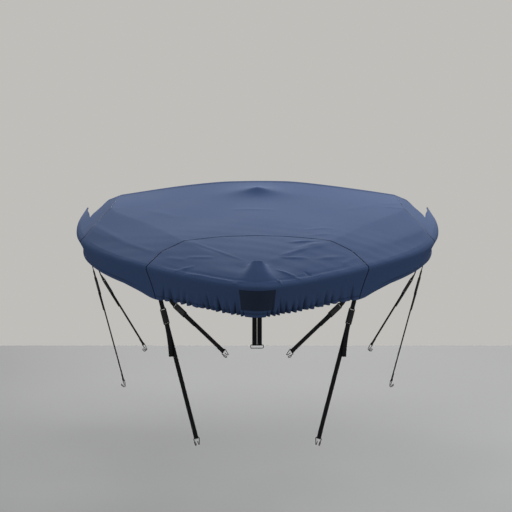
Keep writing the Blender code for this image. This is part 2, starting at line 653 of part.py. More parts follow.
def tie_down(tie, side):
    """One tie-down: the sewn tab, the buckle, the run to the hook, the free tail, the hook."""
    label = tie.name + ("_left" if side < 0 else "_right")
    inside = inside_skirt(side * tie.hem_girth, 0.0, TAB_GAP)
    end = np.array([side * tie.hook[0], tie.hook[1], tie.hook[2] - DECK_DROP])
    down = unit(end - inside)
    angle = math.radians(tie.facing)
    face = np.array([side * math.sin(angle), -math.cos(angle), 0.0])
    across = unit(np.cross(down, face))
    front = unit(np.cross(across, down))

    top_bar = inside + down * tie.tab
    lap = tie.tab - TURN_NECK - TAB_TWIST - 0.002
    flat = [(TAB_TWIST - tie.tab, -LAP / 2), *turned_end(BUCKLE_TURN, lap)]
    loop = place(top_bar, down, front, np.array(flat))
    sewn, lie = sewn_inside(side * tie.hem_girth, TAB_GAP, down, across)
    twist, turning = twisted(sewn, lie, loop[0], across)
    tab_across = [lie] * len(sewn) + turning + [across] * len(loop)
    ribbon("tab_" + label, [*sewn, *twist, *loop], tab_across)
    buckle("buckle_" + label, top_bar, down, front, across)

    low_bar = top_bar + down * (BUCKLE_LENGTH - BAR)
    hook_bar = end - down * (HOOK_LEG + HOOK_BEND)
    turn = BUCKLE_TURN
    bend = [(-turn * math.sin(a), -turn * math.cos(a)) for a in np.linspace(1.5, 0.0, 4)]
    start = place(low_bar, down, front, np.array([*bend, (0.004, -turn), (0.020, -LAP / 2)]))
    finish = place(hook_bar, down, front, np.array(turned_end(HOOK_TURN)))
    middle = [start[-1] + (finish[0] - start[-1]) * share for share in (0.25, 0.5, 0.75)]
    run_path = [*start, *middle, *finish]
    ribbon("run_" + label, run_path, [across] * len(run_path))

    bend = [(-turn * math.sin(a), turn * math.cos(a)) for a in np.linspace(1.5, 0.0, 4)]
    hang = place(low_bar, down, front, np.array([*bend, (0.010, turn + 0.001)]))
    plumb = unit((1 - 0.55 * tie.hang) * down + np.array([0.0, 0.0, -tie.hang]) + 0.10 * tie.hang * front)
    sway = unit(down + 0.12 * front)
    tail_path = list(hang)
    steps = 5
    for step in range(steps):
        lean = (step + 1) / steps
        tail_path.append(tail_path[-1] + (tie.tail / steps) * unit(sway * (1 - lean) + plumb * lean))
    ribbon("tail_" + label, tail_path, [across] * len(tail_path))
    wire_hook("hook_" + label, hook_bar, down, front, across)


def centre_strap():
    """The two short webbings at the bow point and the wire ring that they share."""
    down, front, across = np.array([0.0, 0.0, -1.0]), np.array([0.0, -1.0, 0.0]), np.array([1.0, 0, 0])
    hems = [inside_skirt(girth, 0.0, BOW_TAB_GAP) for _, girth in CENTRE_STRAPS]
    ring_bar = sum(hems) / len(hems) + front * LAP / 2 + down * CENTRE_STRAP_DROP
    for (name, girth), hem in zip(CENTRE_STRAPS, hems):
        bar = ring_bar + across * (hem[0] - ring_bar[0])
        flat = [(-TURN_NECK - SEWN_LENGTH - 0.006, -LAP / 2), *turned_end(HOOK_TURN)]
        loop = place(bar, down, front, np.array(flat))
        sewn, lie = sewn_inside(girth, BOW_TAB_GAP, down, across)
        twist, turning = twisted(sewn, lie, loop[0], across)
        ribbon(name, [*sewn, *twist, *loop], [lie] * len(sewn) + turning + [across] * len(loop))
    corners = []
    centre = ring_bar + down * RING_HALF_HEIGHT
    radius = 0.006
    for sign_x, sign_z, start in ((1, 1, 0), (-1, 1, 90), (-1, -1, 180), (1, -1, 270)):
        for angle in np.radians(start + np.array([0.0, 45.0, 90.0])):
            reach_x = sign_x * (RING_HALF_WIDTH - radius) + radius * math.cos(angle)
            reach_z = sign_z * (RING_HALF_HEIGHT - radius) + radius * math.sin(angle)
            corners.append(centre + across * reach_x - down * reach_z)
    wire("ring_bow", corners, HOOK_WIRE, closed=True)


def main():
    """Clear the scene and model every piece."""
    for item in list(bpy.data.objects):
        bpy.data.objects.remove(item, do_unlink=True)
    bow_panel()
    deck_panel()
    corner_panel(-1.0)
    corner_panel(1.0)
    bow_patch()
    for tie in TIE_DOWNS:
        for side in (-1.0, 1.0):
            tie_down(tie, side)
    centre_strap()


main()
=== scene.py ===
"""The dressed boat cover: sewn panels, tie-downs and the studio that shows them.

Frame: X to the right as seen from ahead of the bow, Y aft, Z up, metres, with the origin on the
centreline just under the top of the cloth. Every panel is cut from one draped surface that is read
at a girth (distance along the rubbing edge from the bow point, negative on the left) and a rise
(0 at the hem, 1 on the centreline).
"""

from __future__ import annotations

import logging
import math
from dataclasses import dataclass, field
from enum import Enum
from typing import Optional, Sequence, Union

import bpy
import numpy as np
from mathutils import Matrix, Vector


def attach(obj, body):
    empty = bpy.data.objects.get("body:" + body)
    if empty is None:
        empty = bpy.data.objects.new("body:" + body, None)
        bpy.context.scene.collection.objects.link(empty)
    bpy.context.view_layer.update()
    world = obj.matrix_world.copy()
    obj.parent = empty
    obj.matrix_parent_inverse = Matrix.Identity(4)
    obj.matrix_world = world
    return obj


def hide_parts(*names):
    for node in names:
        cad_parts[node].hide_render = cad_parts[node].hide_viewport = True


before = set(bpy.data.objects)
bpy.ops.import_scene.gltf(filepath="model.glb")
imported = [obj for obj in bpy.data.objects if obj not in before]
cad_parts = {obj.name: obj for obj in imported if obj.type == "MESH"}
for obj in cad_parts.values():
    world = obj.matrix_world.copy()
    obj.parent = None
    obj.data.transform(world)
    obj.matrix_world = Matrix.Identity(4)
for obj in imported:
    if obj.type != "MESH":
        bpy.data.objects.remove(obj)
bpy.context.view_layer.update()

LOG = logging.getLogger("boat_cover")
Array = np.ndarray


class Side(Enum):
    """A side of the boat, as seen from ahead of the bow."""

    LEFT = -1.0
    RIGHT = 1.0

    @property
    def label(self) -> str:
        """The side's name, as it stands in a piece's name."""
        return self.name.lower()


# Shader maths ----------------------------------------------------------------------------------
class Signal:
    """A number that varies over a surface. Arithmetic on it adds Math nodes to its tree."""

    def __init__(self, graph: "Graph", socket: bpy.types.NodeSocket) -> None:
        """Wrap one output socket of a graph."""
        self.graph = graph
        self.socket = socket

    def _math(self, operation: str, first: "Value", second: Optional["Value"] = None) -> "Signal":
        """Add one Math node.

        Args:
            operation: Name of the Math operation.
            first: First operand.
            second: Second operand, if the operation takes one.

        Returns:
            The node's result.
        """
        values = {0: first} if second is None else {0: first, 1: second}
        return self.graph.node("ShaderNodeMath", {"operation": operation}, values).signal()

    def __add__(self, other: "Value") -> "Signal":
        """Sum."""
        return self._math("ADD", self, other)

    __radd__ = __add__

    def __sub__(self, other: "Value") -> "Signal":
        """Difference."""
        return self._math("SUBTRACT", self, other)

    def __rsub__(self, other: "Value") -> "Signal":
        """Difference, the other way round."""
        return self._math("SUBTRACT", other, self)

    def __mul__(self, other: "Value") -> "Signal":
        """Product."""
        return self._math("MULTIPLY", self, other)

    __rmul__ = __mul__

    def sine(self) -> "Signal":
        """Sine of the value in radians."""
        return self._math("SINE", self)

    def size(self) -> "Signal":
        """Absolute value."""
        return self._math("ABSOLUTE", self)

    def ramp(self, low: float, high: float) -> "Signal":
        """A smooth step from 0 at low to 1 at high."""
        settings = {"interpolation_type": "SMOOTHSTEP"}
        values = {"Value": self, "From Min": low, "From Max": high}
        return self.graph.node("ShaderNodeMapRange", settings, values).signal("Result")


Value = Union[Signal, float]
Colour = tuple[float, float, float]


class Added:
    """A node that has been added to a graph."""

    def __init__(self, graph: "Graph", node: bpy.types.Node) -> None:
        """Keep the node with its graph."""
        self.graph = graph
        self.node = node

    def signal(self, output: Union[str, int] = 0) -> Signal:
        """One of the node's outputs."""
        return Signal(self.graph, self.node.outputs[output])


class Graph:
    """The node tree of one material, with its Principled shader."""

    def __init__(self, name: str) -> None:
        """Start a material with nothing but its shader.

        Args:
            name: The material's name.
        """
        self.material = bpy.data.materials.new(name)
        self.material.use_nodes = True
        self.tree = self.material.node_tree
        self.shader = self.tree.nodes["Principled BSDF"]

    def node(self, kind: str, settings: dict, values: dict) -> Added:
        """Add a node: its settings first, then the values or links of its sockets.

        Args:
            kind: The node's type.
            settings: Attributes to set.
            values: Numbers, colours or signals for its input sockets, by name or index.

        Returns:
            The node that was added.
        """
        node = self.tree.nodes.new(kind)
        for name, value in settings.items():
            setattr(node, name, value)
        for socket, value in values.items():
            self.feed(node.inputs[socket], value)
        return Added(self, node)

    def feed(self, socket: bpy.types.NodeSocket, value: object) -> None:
        """Link a signal to a socket, or set the socket's own value."""
        if isinstance(value, Signal):
            self.tree.links.new(value.socket, socket)
        elif socket.type == "RGBA" and len(value) == 3:
            socket.default_value = (*value, 1.0)
        else:
            socket.default_value = value

    def place(self) -> Signal:
        """Object coordinates."""
        return self.node("ShaderNodeTexCoord", {}, {}).signal("Object")

    def sewn_map(self) -> Signal:
        """The piece's own map, in metres along and across its cloth."""
        return self.node("ShaderNodeUVMap", {"uv_map": "cut"}, {}).signal("UV")

    def parts(self, vector: Signal) -> tuple[Signal, Signal, Signal]:
        """The three numbers of a vector."""
        split = self.node("ShaderNodeSeparateXYZ", {}, {"Vector": vector})
        return split.signal("X"), split.signal("Y"), split.signal("Z")

    def spread(self, name: str) -> Signal:
        """A number kept at each point of the piece."""
        settings = {"attribute_name": name}
        return self.node("ShaderNodeAttribute", settings, {}).signal("Fac")

    def noise(self, vector: Signal, scale: float, detail: float, roughness: float = 0.5) -> Signal:
        """Cloudy noise from 0 to 1.

        Args:
            vector: Where it is read.
            scale: Clouds to the metre.
            detail: How many finer layers it has.
            roughness: How strong these are.

        Returns:
            The noise.
        """
        values = {"Vector": vector, "Scale": scale, "Detail": detail, "Roughness": roughness}
        return self.node("ShaderNodeTexNoise", {}, values).signal(0)

    def blend(self, share: Value, first: object, second: object) -> Signal:
        """A colour between two, by a share from 0 to 1."""
        values = {0: share, 6: first, 7: second}
        return self.node("ShaderNodeMix", {"data_type": "RGBA"}, values).signal(2)

    def relief(self, height: Signal, depth: float, strength: float) -> Signal:
        """A bumped normal from a height from 0 to 1.

        Args:
            height: The height.
            depth: What a height of 1 stands for, in metres.
            strength: How much of it shows.

        Returns:
            The normal.
        """
        values = {"Height": height, "Distance": depth, "Strength": strength}
        return self.node("ShaderNodeBump", {}, values).signal("Normal")

    def finish(self, sockets: dict) -> bpy.types.Material:
        """Set or link the shader's sockets.

        Args:
            sockets: Values or signals by socket name.

        Returns:
            The finished material.
        """
        for name, value in sockets.items():
            self.feed(self.shader.inputs[name], value)
        return self.material


# Finishes --------------------------------------------------------------------------------------
@dataclass(frozen=True)
class Canvas:
    """Coated polyester canvas in a plain weave, a little faded on top, its seams and folds darkened by dust
    and painted shade.
    """

    name: str = "slate_blue_canvas"
    colour: Colour = (0.064, 0.112, 0.250)
    faded: Colour = (0.074, 0.125, 0.272)
    # The dark of dirt and painted shade, laid in seam grooves, stitched lines, fold valleys and patch edges.
    seam: Colour = (0.010, 0.015, 0.034)
    thread_pitch: float = 0.0011
    roughness: float = 0.80

    def material(self) -> bpy.types.Material:
        """Build the material: weave along the cut, clouds of fading, and seams and fold valleys darkened by
        dirt and painted shade.

        Returns:
            The material.
        """
        graph = Graph(self.name)
        along, across, _ = graph.parts(graph.sewn_map())
        turns = 2 * math.pi / self.thread_pitch
        warp = (along * turns).sine()
        weft = (across * turns).sine()
        weave = warp * weft * 0.5 + 0.5
        place = graph.place()
        clouds = graph.noise(place, 2.6, 3.0)
        slub = graph.noise(place, 190.0, 2.0, 0.7)
        # Painted shade, with some dirt, kept at each point: seam grooves, hem stitched lines, fold valleys
        # and patch edges.
        grime = graph.spread("grime")
        tone = graph.blend(clouds.ramp(0.30, 0.75), self.colour, self.faded)
        darker = tuple(0.80 * part for part in self.colour)
        tone = graph.blend((slub * 0.35 + weave * 0.25).ramp(0.15, 0.75) * 0.5, darker, tone)
        tone = graph.blend(grime, tone, self.seam)
        rough = self.roughness + clouds * 0.10 + slub * 0.08
        height = weave * 0.45 + slub * 0.55
        normal = graph.relief(height, 0.0004, 0.35)
        return graph.finish({
            "Base Color": tone,
            "Roughness": rough,
            "Normal": normal,
            "Specular IOR Level": 0.05,
        })


@dataclass(frozen=True)
class Webbing:
    """Black polypropylene webbing: ribs along its length and picks across it."""

    name: str = "black_webbing"
    colour: Colour = (0.0075, 0.0080, 0.0100)
    worn: Colour = (0.020, 0.021, 0.025)
    rib_pitch: float = 0.0023
    pick_pitch: float = 0.0016
    roughness: float = 0.58

    def material(self) -> bpy.types.Material:
        """Build the material: a herringbone of ribs and picks, paler where it is worn.

        Returns:
            The material.
        """
        graph = Graph(self.name)
        along, across, _ = graph.parts(graph.sewn_map())
        rib = (across * (2 * math.pi / self.rib_pitch)).sine()
        slant = (across * (math.pi / self.rib_pitch)).sine().size() * 0.9
        pick = (along * (2 * math.pi / self.pick_pitch) + slant * 2.0).sine()
        woven = rib * 0.30 + pick * 0.20 + 0.5
        fuzz = graph.noise(graph.place(), 420.0, 2.0, 0.6)
        worn = (woven * 0.7 + fuzz * 0.5).ramp(0.45, 1.0)
        tone = graph.blend(worn, self.colour, self.worn)
        normal = graph.relief(woven * 0.8 + fuzz * 0.2, 0.0005, 0.6)
        return graph.finish({
            "Base Color": tone,
            "Roughness": self.roughness + fuzz * 0.15,
            "Normal": normal,
            "Specular IOR Level": 0.12,
        })


@dataclass(frozen=True)
class Moulding:
    """Moulded nylon: fine grain, slightly polished where the webbing rubs."""

    name: str
    colour: Colour
    scuffed: Colour
    roughness: float = 0.42

    def material(self) -> bpy.types.Material:
        """Build the material: spark-eroded grain and soft scuffs.

        Returns:
            The material.
        """
        graph = Graph(self.name)
        place = graph.place()
        grain = graph.noise(place, 900.0, 2.0, 0.6)
        scuffs = graph.noise(place, 130.0, 5.0, 0.7)
        tone = graph.blend(scuffs.ramp(0.50, 0.78) * 0.7, self.colour, self.scuffed)
        normal = graph.relief(grain, 0.00025, 0.35)
        return graph.finish({
            "Base Color": tone,
            "Roughness": self.roughness + scuffs * 0.18,
            "Normal": normal,
            "Specular IOR Level": 0.18,
        })


@dataclass(frozen=True)
class CoatedWire:
    """Steel wire under a black dip coating, with specks where it has worn through."""

    name: str = "black_wire"
    colour: Colour = (0.012, 0.012, 0.013)
    steel: Colour = (0.045, 0.045, 0.047)
    roughness: float = 0.55

    def material(self) -> bpy.types.Material:
        """Build the material: an orange-peel coating with worn specks.

        Returns:
            The material.
        """
        graph = Graph(self.name)
        place = graph.place()
        peel = graph.noise(place, 500.0, 1.0)
        wear = graph.noise(place, 150.0, 6.0, 0.75).ramp(0.68, 0.76)
        tone = graph.blend(wear, self.colour, self.steel)
        return graph.finish({
            "Base Color": tone,
            "Roughness": self.roughness + peel * 0.15 - wear * 0.1,
            "Specular IOR Level": 0.0,
            "Normal": graph.relief(peel, 0.0003, 0.25),
        })


@dataclass(frozen=True)
class Thread:
    """Bonded polyester sewing thread, laid in two plies."""

    name: str
    colour: Colour
    ply_pitch: float = 0.0012

    def material(self) -> bpy.types.Material:
        """Build the material: twisted plies, a shade lighter on their crowns as a painted highlight.

        Returns:
            The material.
        """
        graph = Graph(self.name)
        along, across, _ = graph.parts(graph.sewn_map())
        ply = ((along + across) * (2 * math.pi / self.ply_pitch)).sine() * 0.5 + 0.5
        # Painted highlight: the plies' crowns are made lighter where light would catch them.
        lighter = tuple(min(1.0, 1.7 * part) for part in self.colour)
        return graph.finish({
            "Base Color": graph.blend(ply, self.colour, lighter),
            "Roughness": 0.55 + ply * 0.1,
            "Normal": graph.relief(ply, 0.0002, 0.4),
        })


@dataclass(frozen=True)
class StudioGround:
    """The studio's painted floor."""

    name: str = "studio_floor"
    colour: Colour = (0.155, 0.157, 0.160)
    swept: Colour = (0.165, 0.167, 0.170)
    # Painted light: the floor is made paler towards the front, where the lamps light it less.
    front: Colour = (0.236, 0.244, 0.247)

    def material(self) -> bpy.types.Material:
        """Build the material: broad faint sweeps of a lighter grey, and painted light that makes it paler
        towards the front, where the lamps light it less.

        Returns:
            The material.
        """
        graph = Graph(self.name)
        place = graph.place()
        sweep = graph.noise(place, 0.6, 3.0)
        # Painted light, rising towards the front of the floor.
        ahead = (graph.parts(place)[1] * -1.0).ramp(-2.4, 1.6)
        tone = graph.blend(sweep.ramp(0.3, 0.7), self.colour, self.swept)
        return graph.finish({
            "Base Color": graph.blend(ahead, tone, self.front),
            "Roughness": 0.55 + sweep * 0.1,
            "Specular IOR Level": 0.3,
        })


class Finish(Enum):
    """The finishes that pieces wear, each built once."""

    CANVAS = Canvas()
    PATCH = Canvas(
        name="navy_patch_cloth", colour=(0.034, 0.050, 0.094), faded=(0.040, 0.057, 0.104),
        seam=(0.008, 0.011, 0.024), thread_pitch=0.0009, roughness=0.60,
    )
    WEBBING = Webbing()
    BUCKLE = Moulding("buckle_nylon", (0.020, 0.021, 0.024), (0.055, 0.057, 0.062))
    WIRE = CoatedWire()
    NAVY_THREAD = Thread("navy_thread", (0.022, 0.033, 0.078))
    GROUND = StudioGround()

    def worn(self) -> bpy.types.Material:
        """The finish's material, made when it is first worn."""
        found = bpy.data.materials.get(self.value.name)
        return found if found is not None else self.value.material()


# Mesh making -----------------------------------------------------------------------------------
def lengths(vectors: Array) -> Array:
    """Length of each vector, kept as a last axis of one."""
    return np.linalg.norm(vectors, axis=-1, keepdims=True)


def unit(vectors: Union[Array, Sequence[float]]) -> Array:
    """Each vector at length one."""
    vectors = np.asarray(vectors, float)
    return vectors / np.maximum(lengths(vectors), 1e-12)


def run_along(path: Array) -> Array:
    """How far along a line each of its points lies."""
    return np.concatenate([[0.0], np.cumsum(lengths(np.diff(path, axis=0))[:, 0])])


def run_length(path: Array) -> float:
    """Length of a line through points."""
    return float(lengths(np.diff(path, axis=0)).sum())


def read_along(where: Array, run: Array, values: Array) -> Array:
    """Vectors kept along a run, read at places between its points."""
    return np.stack([np.interp(where, run, values[:, k]) for k in range(3)], axis=1)


def smooth_step(value: Array, low: float, high: float) -> Array:
    """A smooth step, 3t^2 - 2t^3, from 0 at low to 1 at high."""
    share = np.clip((np.asarray(value, float) - low) / (high - low), 0.0, 1.0)
    return share * share * (3 - 2 * share)


def make_mesh(
    name: str, points: Array, faces: Array, cut: Array, finish: Finish, **kept: Array
) -> bpy.types.Object:
    """Put arrays into a new smooth-shaded mesh object.

    Args:
        name: The piece's name.
        points: Vertices, one row each.
        faces: Quads as vertex numbers, one row each.
        cut: The cut map's two numbers for each vertex, in metres.
        finish: What the piece wears.
        kept: Further numbers for each vertex, kept as attributes.

    Returns:
        The object, at the origin.
    """
    mesh = bpy.data.meshes.new(name)
    mesh.vertices.add(len(points))
    mesh.vertices.foreach_set("co", np.ascontiguousarray(points, np.float32).ravel())
    mesh.loops.add(faces.size)
    mesh.loops.foreach_set("vertex_index", np.ascontiguousarray(faces, np.int32).ravel())
    mesh.polygons.add(len(faces))
    mesh.polygons.foreach_set("loop_start", np.arange(0, faces.size, faces.shape[1], dtype=np.int32))
    layer = mesh.uv_layers.new(name="cut")
    layer.data.foreach_set("uv", np.ascontiguousarray(cut[faces.ravel()], np.float32).ravel())
    for label, values in kept.items():
        attribute = mesh.attributes.new(label, "FLOAT", "POINT")
        attribute.data.foreach_set("value", np.ascontiguousarray(values, np.float32))
    mesh.update(calc_edges=True)
    mesh.validate()
    mesh.shade_smooth()
    mesh.materials.append(finish.worn())
    piece = bpy.data.objects.new(name, mesh)
    bpy.context.collection.objects.link(piece)
    return piece


def dress(piece: bpy.types.Object, node: Optional[str] = None) -> bpy.types.Object:
    """Let a piece ride on the cover's body, in place of a node if one is named."""
    if node is not None:
        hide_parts(node)
    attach(piece, "root")
    return piece


def grid_faces(ids: Array, keep: Optional[Array] = None) -> Array:
    """Quads between the rows and columns of a grid of vertex numbers.

    Args:
        ids: Vertex numbers by row and column.
        keep: Which cells get a face. All do, if it is left out.

    Returns:
        One row of four vertex numbers for each face, facing the side from which columns run to
        the right and rows upwards.
    """
    quads = np.stack([ids[:-1, :-1], ids[:-1, 1:], ids[1:, 1:], ids[1:, :-1]], axis=-1)
    return quads[keep] if keep is not None else quads.reshape(-1, 4)


def used_only(points: Array, faces: Array, *others: Array) -> tuple[Array, ...]:
    """Drop the vertices that no face uses.

    Args:
        points: Vertices.
        faces: Quads.
        others: Further arrays with a row for each vertex.

    Returns:
        The same arrays, thinned, in the same order.
    """
    used, renumbered = np.unique(faces, return_inverse=True)
    return points[used], renumbered.reshape(faces.shape), *(other[used] for other in others)


@dataclass
class Strand:
    """A closed section carried along a path, such as webbing, wire or a moulded bar.

    At each path point the section's first number is laid along the across vector and its second
    along the normal, which is square to the across vector and to the path.
    """

    path: Array
    across: Array
    section: Array
    ring: bool = False
    cap_shrinks: tuple = (0.55, 0.02)

    def tangents(self) -> Array:
        """Unit direction at each point: the mean of the way in and the way out."""
        if self.ring:
            before = self.path - np.roll(self.path, 1, axis=0)
            after = np.roll(self.path, -1, axis=0) - self.path
        else:
            steps = np.diff(self.path, axis=0)
            before = np.concatenate([steps[:1], steps])
            after = np.concatenate([steps, steps[-1:]])
        return unit(unit(before) + unit(after))

    def surface(self) -> tuple[Array, Array, Array]:
        """Vertices, quads and cut map of the strand, its ends closed by shrunken rings.

        Returns:
            Vertices, faces, and (along, round) for each vertex.
        """
        tangent = self.tangents()
        across = unit(self.across - tangent * np.sum(self.across * tangent, axis=1, keepdims=True))
        normal = np.cross(across, tangent)
        section = np.broadcast_to(self.section, (len(self.path), *self.section.shape[-2:]))
        rings = (
            self.path[:, None, :]
            + section[:, :, :1] * across[:, None, :]
            + section[:, :, 1:] * normal[:, None, :]
        )
        run = run_along(self.path)
        if not self.ring:
            ends = [(end, shrink) for end in (0, -1) for shrink in self.cap_shrinks]
            caps = [self.path[k] + (rings[k] - self.path[k]) * shrink for k, shrink in ends]
            rings = np.concatenate([[caps[1]], [caps[0]], rings, [caps[2]], [caps[3]]])
            run = np.concatenate([run[:1], run[:1], run, run[-1:], run[-1:]])
        count, sides = rings.shape[:2]
        ids = np.arange(count * sides).reshape(count, sides)
        ids = np.concatenate([ids, ids[:, :1]], axis=1)
        if self.ring:
            ids = np.concatenate([ids, ids[:1]])
        outline = self.section if self.section.ndim == 2 else self.section[0]
        round_it = run_along(outline)
        cut = np.stack(np.broadcast_arrays(run[:, None], round_it[None, :]), axis=-1)
        return rings.reshape(-1, 3), grid_faces(ids)[:, ::-1], cut.reshape(-1, 2)


def quad_area(points: Array, faces: Array) -> float:
    """Area of a set of quads: half the cross product of each one's diagonals."""
    first = points[faces[:, 2]] - points[faces[:, 0]]
    second = points[faces[:, 3]] - points[faces[:, 1]]
    return float(lengths(np.cross(first, second)).sum() / 2)


def join_surfaces(surfaces: Sequence[tuple[Array, Array, Array]]) -> tuple[Array, Array, Array]:
    """Several closed surfaces as one set of vertices, quads and cut map."""
    starts = np.cumsum([0] + [len(points) for points, _, _ in surfaces[:-1]])
    return (
        np.concatenate([points for points, _, _ in surfaces]),
        np.concatenate([faces + start for (_, faces, _), start in zip(surfaces, starts)]),
        np.concatenate([cut for _, _, cut in surfaces]),
    )


def round_section(diameter: float, sides: int = 14) -> Array:
    """A circle as a section, anticlockwise."""
    turn = 2 * math.pi * np.arange(sides) / sides
    return diameter / 2 * np.stack([np.cos(turn), np.sin(turn)], axis=1)


def slab_section(width: float, depth: float, corner: float, sides: int = 6) -> Array:
    """A rectangle with rounded corners as a section, anticlockwise.

    Args:
        width: Size along the across vector.
        depth: Size along the normal.
        corner: Radius of its corners.
        sides: Points round each corner.

    Returns:
        The section's points.
    """
    turns = np.linspace(0.0, math.pi / 2, sides)
    corners = []
    for quarter, (sign_x, sign_z) in enumerate([(1, 1), (-1, 1), (-1, -1), (1, -1)]):
        angle = turns + quarter * math.pi / 2
        corners.append(np.stack([
            sign_x * (width / 2 - corner) + corner * np.cos(angle),
            sign_z * (depth / 2 - corner) + corner * np.sin(angle),
        ], axis=1))
    return np.concatenate(corners)


def evenly(path: Array, step: float) -> Array:
    """The points every step metres along a path, both ends included."""
    run = run_along(path)
    count = max(2, int(round(run[-1] / step)) + 1)
    at = np.linspace(0.0, run[-1], count)
    return read_along(at, run, path)


@dataclass
class Stitches:
    """A row of lockstitches: short lengths of thread that dive into the cloth at both ends."""

    pitch: float = 0.0050
    share: float = 0.80
    thread: float = 0.0009
    sides: int = 4
    rings: int = 4
    reading: float = 0.25
    end_thickness: float = 0.35
    crown: float = 0.5
    sunk: float = 0.3

    def surface(self, path: Array, normals: Array) -> tuple[Array, Array, Array]:
        """Vertices, quads and cut map of the stitches along a path on a surface.

        Each stitch is an ellipse of thread: its radius and its height over the cloth follow
        sqrt(1 - t^2) for t from -1 to 1 along it. Crown and sunk are shares of the thread.

        Args:
            path: Points on the cloth.
            normals: The cloth's outward normal at each of them.

        Returns:
            The joined surfaces of all the stitches.
        """
        run = run_along(path)
        count = max(1, int(run[-1] / self.pitch))
        at = (np.arange(count) + 0.5) * run[-1] / count
        near = self.reading * self.pitch
        centre = read_along(at, run, path)
        ahead = unit(read_along(at + near, run, path) - read_along(at - near, run, path))
        up = unit(read_along(at, run, normals))
        beside = np.cross(up, ahead)
        t = np.sin(np.linspace(-math.pi / 2, math.pi / 2, self.rings + 2))[1:-1]
        bulge = np.sqrt(1 - t * t)
        turn = 2 * math.pi * np.arange(self.sides) / self.sides
        shape = (len(t), self.sides)
        forward = np.broadcast_to((t * self.pitch * self.share / 2)[:, None], shape)
        radius = (self.thread / 2) * (self.end_thickness + (1 - self.end_thickness) * bulge)
        sideways = radius[:, None] * np.cos(turn)
        upwards = radius[:, None] * np.sin(turn) + (bulge * self.crown - self.sunk)[:, None] * self.thread
        points = (
            centre[:, None, None, :]
            + forward[None, :, :, None] * ahead[:, None, None, :]
            + sideways[None, :, :, None] * beside[:, None, None, :]
            + upwards[None, :, :, None] * up[:, None, None, :]
        )
        ids = np.arange(shape[0] * shape[1]).reshape(shape)
        ids = np.concatenate([ids, ids[:, :1]], axis=1)
        body = grid_faces(ids)
        ends = []
        for row in (ids[0, :-1][::-1], ids[-1, :-1]):
            half = self.sides // 2
            ends += [[row[k], row[k + 1], row[-2 - k], row[-1 - k]] for k in range(half - 1)]
        each = np.concatenate([body, np.array(ends)])
        faces = each[None, :, :] + (np.arange(count) * ids[:, :-1].size)[:, None, None]
        cut = np.stack(np.broadcast_arrays(forward, (self.thread / 2 * turn)[None, :]), axis=-1)
        cut = np.broadcast_to(cut[None], (count, *cut.shape)).reshape(-1, 2)
        return points.reshape(-1, 3), faces.reshape(-1, 4)[:, ::-1], cut


# The draped surface ----------------------------------------------------------------------------
@dataclass(frozen=True)
class Section:
    """One line across the top: where it meets the rubbing edge, then its knots inwards.

    knee, crease and shoulder are x, y, z and centre is y, z, with z from the deck edge.
    """

    rail_y: float
    knee: tuple[float, float, float]
    crease: tuple[float, float, float]
    shoulder: tuple[float, float, float]
    centre: tuple[float, float]


@dataclass(frozen=True)
class Crease:
    """A soft crease pulled into the top: a ridge where its height is above 0, else a trough."""

    start: tuple[float, float]
    end: tuple[float, float]
    width: float
    height: float
    bow: float = 0.0

    def lift(self, x: Array, y: Array) -> Array:
        """Height of the crease at places in plan.

        With t the share of the way along it and d the distance from its line, which bows out
        by bow at its middle, the lift is height * exp(-(d / width)^2) * sin(pi t)^0.7.

        Args:
            x: Places to the right.
            y: Places aft.

        Returns:
            The lift at each place, in metres.
        """
        run = np.subtract(self.end, self.start)
        length = float(np.hypot(*run))
        way = run / length
        t = ((x - self.start[0]) * way[0] + (y - self.start[1]) * way[1]) / length
        inside = np.clip(t, 0.0, 1.0)
        d = (x - self.start[0]) * way[1] - (y - self.start[1]) * way[0]
        d = d - self.bow * 4 * inside * (1 - inside)
        return self.height * np.exp(-((d / self.width) ** 2)) * np.sin(math.pi * inside) ** 0.7


@dataclass(frozen=True)
class Tent:
    """A fitting under the cloth that lifts it: steep behind its top, long and low ahead of it."""

    top_y: float
    foot_y: float
    behind: float
    height: float
    half_width: float
    foot_half_width: float
    edge: float
    early: float = 0.25

    def lift(self, x: Array, y: Array) -> Array:
        """Height of the tent at places in plan.

        Along its middle it rises in a straight line from the foot to the top, and falls off
        behind it in a smooth step that starts a little early. Across, it falls as
        1 / (1 + |x / w|^edge), where w goes from its half width at the foot to the one at the
        top.

        Args:
            x: Places to the right.
            y: Places aft.

        Returns:
            The lift at each place, in metres.
        """
        climb = np.clip((y - self.foot_y) / (self.top_y - self.foot_y), 0.0, 1.0)
        fall = 1.0 - smooth_step(y, self.top_y - self.early * self.behind, self.top_y + self.behind)
        width = self.foot_half_width + (self.half_width - self.foot_half_width) * climb
        return self.height * climb * fall / (1.0 + np.abs(x / width) ** self.edge)


@dataclass(frozen=True)
class Prop:
    """The end of a pole under the cloth: a blunt point with hollow slopes all round."""

    top_y: float
    height: float
    ahead: float
    behind: float
    aside: float

    def lift(self, x: Array, y: Array) -> Array:
        """Height of the point at places in plan.

        With r^2 = (x / aside)^2 + (dy / reach)^2 + 0.02, where dy is the distance from its top
        and reach is ahead or behind, the lift is height * exp(-r).

        Args:
            x: Places to the right.
            y: Places aft.

        Returns:
            The lift at each place, in metres.
        """
        off = y - self.top_y
        reach = np.where(off < 0, self.ahead, self.behind)
        return self.height * np.exp(-np.sqrt((x / self.aside) ** 2 + (off / reach) ** 2 + 0.02))


@dataclass(frozen=True)
class Fold:
    """A fold that the elastic pulls into the bow's skirt: a pointed valley from the hem up.

    x is its place at the hem, from the centreline; lean is how far its tip stands to the right.
    """

    x: float
    half_width: float
    depth: float
    reach: float
    lean: float = 0.0


